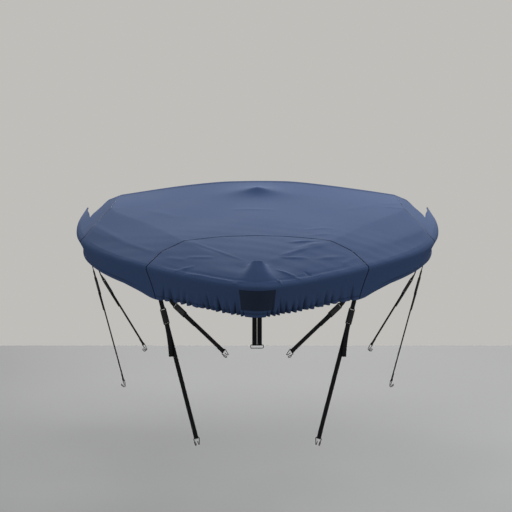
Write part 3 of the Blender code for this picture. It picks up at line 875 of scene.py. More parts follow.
@dataclass
class Drape:
    """The draped cover as one surface over girth and rise."""

    cloth: float = 0.002
    deck_drop: float = 0.112
    bow_y: float = -1.381
    half_beam: float = 1.176
    bow_length: float = 2.40
    bow_fullness: float = 2.5
    bow_rounding: float = 0.08
    tail_y: float = 1.367
    plan_samples: int = 1600
    plan_beyond: float = 0.25
    least_taper: float = 0.06
    seam_shear: float = 0.042
    shear_fade: float = 0.5
    edge_rise: tuple = (0.00, 0.03, 0.08, 0.15, 0.195, 0.24)
    edge_inset: tuple = (0.045, 0.036, 0.020, 0.000, 0.006, 0.028)
    edge_height: tuple = (-0.190, -0.152, -0.095, -0.031, -0.017, -0.006)
    rise_at_rail: float = 0.15
    rise_at_deck: float = 0.24
    trim: tuple = (0.000, 0.000, 0.019, 0.021, 0.016, 0.014)
    trim_girths: tuple = (0.0, 0.92, 1.20, 1.75, 2.00, 2.60)
    sag: float = 0.020
    sag_rises: tuple = (0.0, 0.08, 0.15, 0.195, 0.24)
    sag_shares: tuple = (0.0, 0.6, 1.0, 0.8, 0.3)
    sag_starts: tuple = (0.95, 1.75)
    sag_ends: tuple = (2.0, 2.7)
    dip: float = 0.013
    dip_reach: float = 0.12
    tuck: float = 0.014
    tuck_starts: tuple = (1.78, 2.05)
    tuck_rises: tuple = (0.0, 0.03, 0.08, 0.15)
    tuck_shares: tuple = (0.0, 0.8, 1.0, 0.0)
    knots: tuple = (0.0, 0.20, 0.40, 0.70, 1.0)
    bends: tuple = (0.040, 0.009, 0.140, 0.120)
    sections: tuple = (
        Section(-1.381, (0.00, -1.280, 0.010), (0.00, -1.240, 0.018), (0.00, -1.150, 0.030), (-1.08, 0.036)),
        Section(-1.300, (0.12, -1.180, 0.018), (0.09, -1.090, 0.032), (0.05, -1.060, 0.042), (-1.00, 0.050)),
        Section(
            -0.820, (0.543, -0.626, 0.036), (0.423, -0.508, 0.074), (0.21, -0.45, 0.089), (-0.455, 0.096)
        ),
        Section(-0.260, (0.815, -0.250, 0.034), (0.650, -0.020, 0.082), (0.33, 0.20, 0.115), (0.28, 0.134)),
        Section(0.110, (1.030, 0.257, 0.030), (0.940, 0.558, 0.095), (0.45, 0.68, 0.138), (0.70, 0.156)),
        Section(0.720, (1.015, 1.010, 0.062), (0.930, 1.000, 0.102), (0.33, 1.045, 0.180), (1.045, 0.181)),
        Section(0.790, (1.010, 1.063, 0.068), (0.918, 1.052, 0.106), (0.32, 1.094, 0.187), (1.094, 0.187)),
    )
    bow_seam_section: int = 2
    corner_seam_section: int = 4
    tents: tuple = (
        Tent(-1.105, -1.345, 0.070, 0.046, 0.040, 0.105, 5.0),
        Prop(0.760, 0.052, 0.100, 0.150, 0.150),
    )
    rail_trough: tuple = (0.052, 0.012, 0.0030)
    trough_fade: tuple = (-0.80, -0.62)
    uneven: float = 0.0012
    uneven_turns: tuple = (9.0, 7.0)
    uneven_phases: tuple = (1.0, 0.4)
    rumple: float = 0.0009
    rumple_turns: tuple = (29.0, 17.0, 8.0, 23.0)
    rumple_phase: float = 2.0
    rumple_starts: tuple = (-0.2, 0.6)
    hem_draw: float = 0.16
    hem_reach: float = 0.035
    fold_gain: float = 1.7
    fold_taper: float = 0.85
    fold_foot: float = 1.10
    fold_narrows: float = 0.70
    folds_start: tuple = (0.75, 0.95)
    wave_height: float = 0.0042
    wave_reach: float = 0.105
    wave_turns: tuple = (132.0, 31.0, 211.0)
    wave_drift: float = 1.4
    wave_second: float = 0.5
    wave_end: float = 0.56
    wave_fade: float = 0.08
    wave_starts: tuple = (0.045, 0.075)
    folds: tuple = (
        Fold(-0.527, 0.007, 0.009, 0.075, 0.006), Fold(-0.475, 0.010, 0.005, 0.070, -0.010),
        Fold(-0.440, 0.006, 0.006, 0.040, -0.006), Fold(-0.400, 0.006, 0.006, 0.046, -0.006),
        Fold(-0.365, 0.005, 0.007, 0.035, -0.010), Fold(-0.322, 0.006, 0.007, 0.048, -0.012),
        Fold(-0.290, 0.005, 0.008, 0.040, -0.008), Fold(-0.262, 0.008, 0.011, 0.085, -0.014),
        Fold(-0.232, 0.005, 0.007, 0.036, -0.006), Fold(-0.204, 0.007, 0.011, 0.090, -0.014),
        Fold(-0.175, 0.005, 0.008, 0.045, -0.006), Fold(-0.148, 0.006, 0.009, 0.050, -0.006),
        Fold(-0.122, 0.005, 0.010, 0.078, 0.004), Fold(-0.096, 0.005, 0.007, 0.040, 0.003),
        Fold(-0.074, 0.005, 0.008, 0.034, 0.0), Fold(0.052, 0.005, 0.007, 0.034, 0.0),
        Fold(0.078, 0.005, 0.008, 0.040, 0.0), Fold(0.104, 0.006, 0.009, 0.050, 0.006),
        Fold(0.128, 0.006, 0.011, 0.088, -0.010), Fold(0.158, 0.007, 0.012, 0.070, -0.006),
        Fold(0.190, 0.006, 0.009, 0.060, 0.006), Fold(0.218, 0.005, 0.007, 0.036, 0.004),
        Fold(0.248, 0.008, 0.009, 0.076, 0.012), Fold(0.285, 0.006, 0.006, 0.045, 0.008),
        Fold(0.320, 0.006, 0.007, 0.055, 0.010), Fold(0.366, 0.008, 0.006, 0.075, 0.012),
        Fold(0.405, 0.007, 0.006, 0.060, 0.010), Fold(0.450, 0.006, 0.004, 0.040, 0.008),
        Fold(0.527, 0.006, 0.008, 0.085, 0.004),
    )
    creases: tuple = (
        Crease((-0.420, -0.488), (-0.069, -0.987), 0.012, 0.0026),
        Crease((0.390, -0.494), (0.068, -1.004), 0.026, 0.0030),
        Crease((-0.465, -0.995), (-0.342, -0.974), 0.015, 0.0036),
        Crease((-0.400, -1.062), (-0.262, -1.170), 0.012, 0.0038),
        Crease((-0.285, -1.150), (-0.120, -1.306), 0.012, 0.0034),
        Crease((-0.400, -0.805), (-0.235, -0.885), 0.019, 0.0034),
        Crease((0.130, -0.915), (0.290, -0.872), 0.017, 0.0034),
        Crease((0.310, -0.880), (0.500, -0.740), 0.018, 0.0036),
        Crease((0.165, -0.592), (0.325, -0.535), 0.017, 0.0030),
        Crease((0.403, -0.490), (0.185, -0.605), 0.018, 0.0036),
        Crease((0.406, -0.530), (0.192, -0.744), 0.019, 0.0042),
        Crease((0.411, -0.560), (0.125, -0.881), 0.021, 0.0040),
        Crease((0.096, -1.118), (0.240, -1.222), 0.012, 0.0046),
        Crease((0.250, -1.104), (0.294, -1.134), 0.009, -0.0046),
        Crease((0.104, -1.268), (0.129, -1.322), 0.008, 0.0060),
        Crease((-0.135, -1.300), (-0.100, -1.330), 0.008, 0.0040),
        Crease((0.270, -0.268), (0.450, -0.155), 0.015, 0.0030),
        Crease((0.285, -0.420), (0.440, -0.320), 0.015, 0.0026),
        Crease((0.800, 0.633), (0.980, 0.738), 0.014, 0.0034),
        Crease((0.805, 0.543), (0.960, 0.549), 0.013, 0.0028),
        Crease((-1.038, 0.291), (-0.740, -0.398), 0.014, 0.0034, 0.012),
        Crease((-0.760, -0.360), (-0.585, -0.630), 0.014, 0.0030),
        Crease((-0.980, 0.560), (-0.870, 0.500), 0.010, 0.0022),
        Crease((-0.520, -0.745), (-0.400, -0.860), 0.016, 0.0026),
        Crease((0.560, -0.720), (0.470, -0.880), 0.014, 0.0026),
        Crease((-0.180, 0.300), (0.120, 0.260), 0.030, 0.0022),
        Crease((-0.700, 0.420), (-0.480, 0.120), 0.030, 0.0024),
        Crease((0.560, 0.360), (0.760, 0.610), 0.028, 0.0022),
    )

    def __post_init__(self) -> None:
        """Lay out the rubbing edge in plan: a full bow curve with a rounded point."""
        share = np.linspace(0.0, 1.0, self.plan_samples)
        x = self.half_beam * (1.0 - (1.0 - share) ** self.bow_fullness)
        y = self.bow_y + np.hypot(self.bow_length * share, self.bow_rounding) - self.bow_rounding
        self.plan_x = np.append(x, self.half_beam)
        self.plan_y = np.append(y, self.tail_y + self.plan_beyond)
        steps = np.hypot(np.diff(self.plan_x), np.diff(self.plan_y))
        self.plan_girth = np.concatenate([[0.0], np.cumsum(steps)])
        self.section_girth = np.array([self.girth_at_y(s.rail_y) for s in self.sections])
        self.bow_seam = float(self.section_girth[self.bow_seam_section])
        self.corner_seam = float(self.section_girth[self.corner_seam_section])
        self.aft_edge = float(self.section_girth[-1])
        self.tail = self.girth_at_y(self.tail_y)
        self.rise_at_crease = self.rise_at_deck + (1 - self.rise_at_deck) * self.knots[2]

    def girth_at_y(self, y: float) -> float:
        """The girth where the rubbing edge reaches this y."""
        return float(np.interp(y, self.plan_y, self.plan_girth))

    def rail(self, girth: Array) -> tuple[Array, Array, Array, Array]:
        """Point and outward normal of the rubbing edge in plan, on the right-hand side."""
        reach = 0.03
        x = np.interp(girth, self.plan_girth, self.plan_x)
        y = np.interp(girth, self.plan_girth, self.plan_y)
        back = girth - reach
        back_x = np.sign(back) * np.interp(np.abs(back), self.plan_girth, self.plan_x)
        back_y = np.interp(np.abs(back), self.plan_girth, self.plan_y)
        run_x = np.interp(girth + reach, self.plan_girth, self.plan_x) - back_x
        run_y = np.interp(girth + reach, self.plan_girth, self.plan_y) - back_y
        length = np.hypot(run_x, run_y)
        return x, y, run_y / length, -run_x / length

    @staticmethod
    def through(at: Array, rows: Array, values: Sequence[float]) -> Array:
        """Monotone cubic through values at rows, read at the given places.

        The slope at an inner row is the harmonic mean of the slopes on both sides, or zero
        where these differ in sign.
        """
        values = np.asarray(values, float)
        rows = np.asarray(rows, float)
        step = np.diff(rows)
        slope = np.diff(values) / step
        tangent = np.zeros_like(values)
        product = slope[:-1] * slope[1:]
        total = slope[:-1] + slope[1:]
        safe = np.where(np.abs(total) < 1e-9, 1.0, total)
        tangent[1:-1] = np.where(product > 0, 2 * product / safe, 0.0)
        tangent[0], tangent[-1] = slope[0], slope[-1]
        i = np.clip(np.searchsorted(rows, at) - 1, 0, len(step) - 1)
        t = np.clip((at - rows[i]) / step[i], 0.0, 1.0)
        return (
            (1 + 2 * t) * (1 - t) ** 2 * values[i]
            + t * (1 - t) ** 2 * step[i] * tangent[i]
            + t * t * (3 - 2 * t) * values[i + 1]
            + t * t * (t - 1) * step[i] * tangent[i + 1]
        )

    def across_top(self, share: Array, knots: Sequence[Array], mirrored: bool) -> Array:
        """A taut line through the five knot values, rounded where it bends.

        It is straight between the knots. Within w of a knot the bend adds the change of slope
        times (u + w)^2 / (4 w), with u the distance past the knot, and beyond that the change of
        slope times u. At the centreline the line goes on as its own mirror image.

        Args:
            share: Shares of the way from the deck edge to the centreline.
            knots: The values at the knots.
            mirrored: Whether the value falls back past the centreline, as x does not.

        Returns:
            The values.
        """
        slopes = [(b - a) / (q - p) for a, b, p, q in zip(knots, knots[1:], self.knots, self.knots[1:])]
        slopes.append(-slopes[-1] if mirrored else slopes[-1])
        result = knots[0] + slopes[0] * share
        for place, width, before, after in zip(self.knots[1:], self.bends, slopes, slopes[1:]):
            past = np.maximum(share - place + width, 0.0)
            turn = np.minimum(past, 2 * width) ** 2 / (4 * width)
            result = result + (after - before) * (turn + np.maximum(past - 2 * width, 0.0))
        return result

    def base(self, girth: Array, rise: Array) -> Array:
        """The outer face without its folds.

        Args:
            girth: Girths, negative on the left.
            rise: Rises, one for each girth.

        Returns:
            Points, with one more axis than girth and rise.
        """
        girth, rise = np.broadcast_arrays(np.asarray(girth, float), np.asarray(rise, float))
        side = np.where(girth < 0, -1.0, 1.0)
        size = np.abs(girth)
        low = np.clip(1.0 - rise / self.rise_at_deck, 0.0, 1.0)
        shear = self.seam_shear * np.clip(size / self.bow_seam, 0, 1)
        shear = shear * np.clip((self.corner_seam - size) / self.shear_fade, 0, 1)
        x, y, normal_x, normal_y = self.rail(size - shear * low)
        taper = np.clip((self.tail - size) / (self.tail - self.aft_edge), self.least_taper, 1.0)
        edge = np.clip(rise, 0.0, self.rise_at_deck)
        skirt = np.clip(1.0 - edge / self.rise_at_rail, 0.0, 1.0)
        cut = edge + skirt * np.interp(size, self.trim_girths, self.trim)
        inset = self.through(cut, self.edge_rise, self.edge_inset)
        height = self.through(cut, self.edge_rise, self.edge_height)
        below_rail = np.where(edge < self.rise_at_rail, taper, 1.0)
        tucked = smooth_step(size, *self.tuck_starts) * np.interp(edge, self.tuck_rises, self.tuck_shares)
        inset = inset + self.tuck * tucked
        inset = inset * below_rail
        rail_height = self.edge_height[self.edge_rise.index(self.rise_at_rail)]
        height = rail_height + (height - rail_height) * below_rail
        slack = smooth_step(size, *self.sag_starts) * (1.0 - smooth_step(size, *self.sag_ends))
        height = height - self.sag * slack * np.interp(edge, self.sag_rises, self.sag_shares)
        height = height - self.dip * np.exp(-(((size - self.bow_seam) / self.dip_reach) ** 2)) * skirt
        deck_x = x - inset * normal_x
        deck_y = y - inset * normal_y
        knots = [[deck_x], [deck_y], [height]]
        for knot in ("knee", "crease", "shoulder"):
            for k, found in enumerate(knots):
                along = [getattr(section, knot)[k] for section in self.sections]
                found.append(self.through(size, self.section_girth, along))
        knots[0].append(0.0 * size)
        for k in (0, 1):
            along = [section.centre[k] for section in self.sections]
            knots[k + 1].append(self.through(size, self.section_girth, along))
        share = np.clip((rise - self.rise_at_deck) / (1 - self.rise_at_deck), 0.0, 1.0)
        on_top = rise > self.rise_at_deck
        spot = [np.where(on_top, self.across_top(share, k, i > 0), k[0]) for i, k in enumerate(knots)]
        spot[0] = np.where(rise >= 1.0, 0.0, spot[0])
        for tent in self.tents:
            spot[2] = spot[2] + np.where(on_top, tent.lift(spot[0], spot[1]), 0.0)
        return np.stack([spot[0] * side, spot[1], spot[2] - self.deck_drop], axis=-1)

    def slopes(self, girth: Array, rise: Array, step: float = 0.002) -> tuple[Array, Array]:
        """How the surface without folds runs along girth and along rise."""
        girth, rise = np.broadcast_arrays(np.asarray(girth, float), np.asarray(rise, float))
        level = np.minimum(rise, 1.0 - step)
        below = np.maximum(level - step, 0.0)
        along = (self.base(girth + step, level) - self.base(girth - step, level)) / (2 * step)
        upward = self.base(girth, level + step) - self.base(girth, below)
        return along, upward / (level + step - below)[..., None]

    def stretches(self, girth: Array, rise: Array) -> tuple[Array, Array]:
        """Metres of the surface without folds to one of girth, and to one of rise."""
        along, upward = self.slopes(girth, rise)
        return lengths(along)[..., 0], lengths(upward)[..., 0]

    def gathers(self, x: Array, height: Array) -> Array:
        """Inward push of the folds along the bow's hem.

        A fold at distance d from its leaning line pushes in by
        gain * depth * exp(-|d / width|^1.4) * (1 - u)^0.9, with u the taper times the height over
        the hem, as a share of its reach. Its width narrows towards its tip. Soft waves, sums of two
        sines, lie between the folds and die out over the wave's reach.

        Args:
            x: Distance from the centreline.
            height: Height over the hem.

        Returns:
            The push at each place, in metres.
        """
        push = np.zeros_like(x)
        for fold in self.folds:
            up = np.clip(self.fold_taper * height / fold.reach, 0.0, 1.0)
            d = np.abs(x - fold.x - fold.lean * up)
            width = fold.half_width * (self.fold_foot - self.fold_narrows * up)
            push = push + fold.depth * np.exp(-((d / width) ** 1.4)) * (1 - up) ** 0.9
        broad, drift, fine = self.wave_turns
        wave = np.sin(x * broad + self.wave_drift * np.sin(x * drift))
        wave = wave + self.wave_second * np.sin(x * fine + 1.0)
        band = smooth_step(self.wave_end - np.abs(x), 0.0, self.wave_fade)
        band = band * smooth_step(np.abs(x), *self.wave_starts)
        dying = np.clip(1.0 - height / self.wave_reach, 0.0, 1.0) ** 1.2
        return self.fold_gain * push - self.wave_height * wave * band * dying

    def pleats(self, spot: Array, rise: Array) -> tuple[Array, Array]:
        """Inward push of the bow's folds at points of the base, and their height over the hem."""
        height = np.maximum(spot[..., 2] - self.edge_height[0] + self.deck_drop, 0.0)
        ahead = smooth_step(-spot[..., 1], *self.folds_start) * (rise < self.rise_at_rail)
        return self.gathers(spot[..., 0], height) * ahead, height

    def outer(self, girth: Array, rise: Array, extra: Union[float, Array] = 0.0) -> tuple[Array, Array]:
        """The outer face with its folds, and the normal without them.

        On top, the creases, a trough beside the bow's edge and two products of sines, one broad
        and one fine, lift the cloth along its normal. On the skirt the folds push it in, and draw
        the hem up.

        Args:
            girth: Girths, negative on the left.
            rise: Rises, one for each girth.
            extra: Further lift off the cloth, in metres.

        Returns:
            Points and outward unit normals.
        """
        girth, rise = np.broadcast_arrays(np.asarray(girth, float), np.asarray(rise, float))
        spot = self.base(girth, rise)
        normal = np.cross(*self.slopes(girth, rise))
        normal[..., 0] = np.where(rise >= 1.0, 0.0, normal[..., 0])
        normal = unit(normal)
        push, height = self.pleats(spot, rise)
        top = smooth_step(rise, self.rise_at_rail, self.rise_at_deck)
        lift = -push
        for crease in self.creases:
            lift = lift + crease.lift(spot[..., 0], spot[..., 1]) * top
        edge_x, edge_y, _, _ = self.rail(np.abs(girth))
        inboard = np.hypot(np.abs(spot[..., 0]) - edge_x, spot[..., 1] - edge_y)
        place, width, depth = self.rail_trough
        trough = np.exp(-(((inboard - place) / width) ** 2))
        trough = trough * smooth_step(-np.abs(girth), *self.trough_fade)
        lift = lift - depth * trough * top
        (turns_x, turns_y), (phase_x, phase_y) = self.uneven_turns, self.uneven_phases
        uneven = np.sin(spot[..., 0] * turns_x + phase_x) * np.sin(spot[..., 1] * turns_y + phase_y)
        lift = lift + self.uneven * uneven * top
        first_x, first_y, second_x, second_y = self.rumple_turns
        rumple = np.sin(spot[..., 0] * first_x + spot[..., 1] * first_y)
        rumple = rumple * np.sin(spot[..., 1] * second_y - spot[..., 0] * second_x + self.rumple_phase)
        lift = lift + self.rumple * rumple * top * smooth_step(-spot[..., 1], *self.rumple_starts)
        spot = spot + (lift + extra)[..., None] * normal
        drawn_up = np.maximum(push, 0.0) * np.clip(1.0 - height / self.hem_reach, 0.0, 1.0)
        spot[..., 2] = spot[..., 2] + self.hem_draw * drawn_up
        return spot, normal


def steps_between(low: float, high: float, step: float, fine: Sequence[float] = ()) -> Array:
    """Even places from low to high, with finer ones at the given distances from both ends.

    Args:
        low: Lowest place.
        high: Highest place.
        step: Distance between places.
        fine: Distances from each end at which there is a place.

    Returns:
        The places in order.
    """
    fine = np.asarray(fine, float)
    reach = fine.max() if len(fine) else 0.0
    count = max(2, int(round((high - low - 2 * reach) / step)) + 1)
    middle = np.linspace(low + reach, high - reach, count)
    return np.unique(np.round(np.concatenate([[low], low + fine, middle, high - fine, [high]]), 6))


@dataclass
class Panel:
    """What every panel shares: its drape, its seams' turned edges and its hems."""

    drape: Drape
    seam_half_gap: float = 0.00015
    roll_width: float = 0.0060
    roll_depth: float = 0.0022
    lip_width: float = 0.0010
    lip_depth: float = 0.0050
    hem_width: float = 0.022
    hem_lift: float = 0.0010
    thread_line: float = 0.0190
    thread_width: float = 0.0022
    thread_pull: float = 0.8
    # Widths of the dirt and painted shade in a seam's groove; the next three place and weigh the painted
    # shade along a hem's stitched line.
    groove_edges: tuple = (0.0018, 0.0052)
    shade_beyond: float = 0.0025
    shade_width: float = 0.0024
    shade: float = 0.45
    corner_shade: float = 0.55
    crease_roll: float = 0.12
    slant: float = 0.9
    seam_fine: tuple = (0.0, 0.0010, 0.0022, 0.0038, 0.0060)
    hem_fine: tuple = (0.0, 0.0015, 0.004)

    def roll(self, distance: Array) -> Array:
        """How far a panel's edge turns in at a distance d from its seam.

        It rolls in by depth * (1 - d / width)^2, and its last millimetre dives as a lip.
        """
        rolled = self.roll_depth * np.clip(1.0 - distance / self.roll_width, 0.0, 1.0) ** 2
        return -rolled - self.lip_depth * np.clip(1.0 - distance / self.lip_width, 0.0, 1.0)

    def band(self, distance: Array) -> Array:
        """Lift of the doubled cloth of a hem at a distance from its edge, less its stitched line."""
        doubled = 1.0 - smooth_step(distance, self.hem_width - 0.0010, self.hem_width + 0.0015)
        stitched = np.exp(-(((distance - self.thread_line) / self.thread_width) ** 2))
        return self.hem_lift * (doubled - self.thread_pull * stitched)

    def grime(self, seam: Array, hem: Array) -> Array:
        """How dark the cloth is from dirt and painted shade: the groove of a seam, and fainter the painted
        shade of a hem's stitched line.
        """
        groove = 1.0 - smooth_step(seam, *self.groove_edges)
        stitched = np.exp(-(((hem - self.thread_line - self.shade_beyond) / self.shade_width) ** 2))
        return np.maximum(groove, self.shade * stitched)

    def cut_map(self, girth: Array, rise: Array) -> Array:
        """Where each point lies on the flat cloth, in metres: girth, and length up the rise."""
        run = self.drape.stretches(girth, rise)[1]
        steps = np.diff(rise, axis=0) * (run[1:] + run[:-1]) / 2
        up = np.concatenate([np.zeros((1, rise.shape[1])), np.cumsum(steps, axis=0)])
        return np.stack([girth, up], axis=-1)

    def make_cloth(
        self, node: str, surface: tuple[Array, Array, Array, Array], finish: Finish,
        flat: tuple[float, float], held: str, wall: float,
    ) -> bpy.types.Object:
        """Args:
            node: The node that it stands for.
            surface: Points, faces, cut map and darkness of dirt and painted shade.
            finish: What it wears.
            flat: Width and length of the cloth it was cut from.
            held: How the cloth is held; not used.
            wall: Thickness of the cloth.

        Returns:
            The panel.
        """
        points, faces, cut, grime = used_only(surface[0], surface[1], *surface[2:])
        piece = make_mesh(node + "_cloth", points, faces, cut, finish, grime=grime)
        thickness = piece.modifiers.new("thickness", "SOLIDIFY")
        thickness.thickness = wall
        thickness.offset = -1.0
        thickness.use_even_offset = False
        dress(piece, node)
        area = quad_area(points, faces)
        LOG.info("%s: cut from %.3f x %.3f m, %.3f m2", node, *flat, area)
        return piece


@dataclass
class BowPanel(Panel):
    """The front panel inside the U-shaped seam, gathered along its hem."""

    step: float = 0.0037
    wide_step: float = 0.0080
    skirt_step: float = 0.0060
    gathered: float = 0.780
    top_rows: int = 62
    valley_depth: float = 0.012
    valley_shade: float = 0.80

    def build(self) -> bpy.types.Object:
        """Make the panel's cloth.

        Returns:
            The panel.
        """
        drape = self.drape
        end = drape.bow_seam - self.seam_half_gap
        fine = steps_between(0.0, self.gathered, self.step)
        half = steps_between(self.gathered, end, self.wide_step, self.seam_fine)
        half = np.unique(np.concatenate([fine, half]))
        columns = np.concatenate([-half[:0:-1], half])
        skirt = steps_between(0.0, drape.rise_at_rail, self.skirt_step, self.hem_fine)
        edge = np.linspace(drape.rise_at_rail, drape.rise_at_deck, 13)[1:]
        top = np.linspace(drape.rise_at_deck, 1.0, self.top_rows)[1:]
        rows = np.concatenate([skirt, edge, top])
        girth, rise = np.meshgrid(columns, rows)
        stretch, climb = drape.stretches(girth, rise)
        seam = (drape.bow_seam - np.abs(girth)) * stretch
        hem = rise * climb
        points, _ = drape.outer(girth, rise, self.roll(seam) + self.band(hem))
        ids = np.arange(girth.size).reshape(girth.shape)
        middle = len(columns) // 2
        ids[-1, :middle] = ids[-1, :middle:-1]
        rail_row = len(skirt) - 1
        ridge = points[-1, middle:]
        flat = (run_length(points[rail_row]), run_length(points[:, middle]) + run_length(ridge))
        cut = self.cut_map(girth, rise).reshape(-1, 2)
        # Painted shade in the valleys of the bow's folds, on top of the seams' dirt and shade.
        valleys = np.clip(drape.pleats(drape.base(girth, rise), rise)[0] / self.valley_depth, 0.0, 1.0)
        grime = np.maximum(self.grime(seam, hem), self.valley_shade * valleys)
        surface = (points.reshape(-1, 3), grid_faces(ids), cut, grime.ravel())
        return self.make_cloth("bow_panel", surface, Finish.CANVAS, flat, "gathered", drape.cloth)


@dataclass
class DeckPanel(Panel):
    """The main panel: from the bow seam to the aft edge, between the two corner seams."""

    step: float = 0.0110
    skirt_step: float = 0.0085
    slope_step: float = 0.0125
    far: float = 9.0
    aft_fine: tuple = (0.0, 0.002, 0.006, 0.015, 0.0225, 0.0255, 0.0285, 0.0320)
    crease_fine: tuple = (0.0, 0.0010, 0.0024, 0.005)

    def build(self) -> bpy.types.Object:
        """Make the panel's cloth.

        Returns:
            The panel.
        """
        drape = self.drape
        gap = self.seam_half_gap
        turn = drape.corner_seam - gap
        forward = steps_between(drape.bow_seam + gap, turn, self.step, self.seam_fine)
        aft = steps_between(turn, drape.aft_edge, self.step, self.aft_fine)
        sizes = np.concatenate([forward, aft[1:]])
        skirt = steps_between(0.0, drape.rise_at_rail, self.skirt_step, self.hem_fine)
        edge = np.linspace(drape.rise_at_rail, drape.rise_at_deck, 11)[1:]
        crease = drape.rise_at_crease
        slope = steps_between(drape.rise_at_deck, crease, self.slope_step, self.crease_fine)[1:]
        above = crease + gap + np.array(self.seam_fine)
        top = np.linspace(above[-1], 1.0, 38)[1:]
        rises = np.concatenate([skirt, edge, slope, above, top])
        rises = np.concatenate([rises, rises[-2::-1]])
        signs = np.where(np.arange(len(rises)) < len(rises) // 2 + 1, 1.0, -1.0)
        size, rise = np.meshgrid(sizes, rises)
        girth = size * signs[:, None]
        stretch, climb = drape.stretches(girth, rise)
        beyond = size > drape.corner_seam
        corner = np.where(beyond | (rise > crease), self.far, (drape.corner_seam - size) * stretch)
        side = np.where(beyond, np.abs(rise - crease) * climb, self.far)
        seam = np.minimum((size - drape.bow_seam) * stretch, corner)
        hem = np.minimum(rise * climb, (drape.aft_edge - size) * stretch)
        rolled = np.minimum(self.roll(seam), self.crease_roll * self.roll(side))
        points, _ = drape.outer(girth, rise, rolled + self.band(hem))
        low = rises < crease + gap / 2
        beside = sizes[:-1] >= drape.corner_seam - 2 * gap
        keep = ~((low[:-1] | low[1:])[:, None] & beside[None, :])
        ids = np.arange(girth.size).reshape(girth.shape)
        over = points[:, len(forward) - 1]
        middle = len(rises) // 2
        flat = (run_length(over), run_length(points[len(skirt) - 1, : len(forward)]) + run_length(
            points[middle, len(forward) - 1 :]))
        cut = self.cut_map(girth, rise).reshape(-1, 2)
        # Dirt and painted shade along the seams and the hem's stitched line.
        grime = self.grime(np.minimum(seam, self.corner_shade * corner), hem)
        surface = (points.reshape(-1, 3), grid_faces(ids, keep), cut, grime.ravel())
        return self.make_cloth("deck_panel", surface, Finish.CANVAS, flat, "stretched", drape.cloth)


@dataclass
class CornerPanel(Panel):
    """One corner flap: from the corner seam round the deck edge to its aft tip."""

    side: Side = Side.RIGHT
    skirt_step: float = 0.0085
    slope_step: float = 0.0110
    share_step: float = 0.0130
    share_fine: tuple = (0.0, 0.0008, 0.002, 0.004, 0.008, 0.016, 0.020, 0.025)
    end_rises: tuple = (0.150, 0.220, 0.261, 0.3025, 0.3175, 0.365, 0.390, 0.405)
    end_shares: tuple = (1.0, 0.725, 0.260, -0.435, -0.325, -0.220, -0.070, 0.0)

    def aft_end(self, rise: Array) -> Array:
        """The girth where the flap ends at a rise.

        From its tip at the rubbing edge it falls back to its throat over the deck edge, and then
        swings out again to the aft edge. The shares tell how far it lies from the aft edge (0)
        towards the tip (1).
        """
        share = np.interp(rise, self.end_rises, self.end_shares)
        return self.drape.aft_edge + (self.drape.tail - self.drape.aft_edge) * share

    def build(self) -> bpy.types.Object:
        """Make the flap's cloth.

        Returns:
            The flap.
        """
        drape = self.drape
        gap = self.seam_half_gap
        crease = drape.rise_at_crease
        shares = steps_between(0.0, 1.0, self.share_step, self.share_fine)
        skirt = steps_between(0.0, drape.rise_at_rail, self.skirt_step, self.hem_fine)
        edge = np.linspace(drape.rise_at_rail, drape.rise_at_deck, 17)[1:]
        slope = steps_between(drape.rise_at_deck, crease - gap, self.slope_step, self.seam_fine)[1:]
        throat = np.array(self.end_rises[3:])
        rows = np.unique(np.concatenate([skirt, edge, slope, throat]))
        share, rise = np.meshgrid(shares, rows)
        end = self.aft_end(rise)
        start = drape.corner_seam + gap
        size = start + (end - start) * share
        girth = size * self.side.value
        stretch, climb = drape.stretches(girth, rise)
        seam = (size - drape.corner_seam) * stretch
        hem = np.minimum(rise * climb, (end - size) * self.slant * stretch)
        rolled = np.minimum(self.roll(seam), self.crease_roll * self.roll(np.abs(rise - crease) * climb))
        points, _ = drape.outer(girth, rise, rolled + self.band(hem))
        flat = (run_length(points[:, 0]), run_length(points[len(skirt) - 1]))
        # Dirt and painted shade along the corner seam and the hem's stitched line.
        cut, grime = self.cut_map(girth, rise), self.grime(self.corner_shade * seam, hem)
        if self.side is Side.LEFT:
            points, cut, grime = points[:, ::-1], cut[:, ::-1], grime[:, ::-1]
        faces = grid_faces(np.arange(girth.size).reshape(girth.shape))
        surface = (points.reshape(-1, 3), faces, cut.reshape(-1, 2), grime.ravel())
        node = f"corner_panel_{self.side.label}"
        return self.make_cloth(node, surface, Finish.CANVAS, flat, "stretched", drape.cloth)


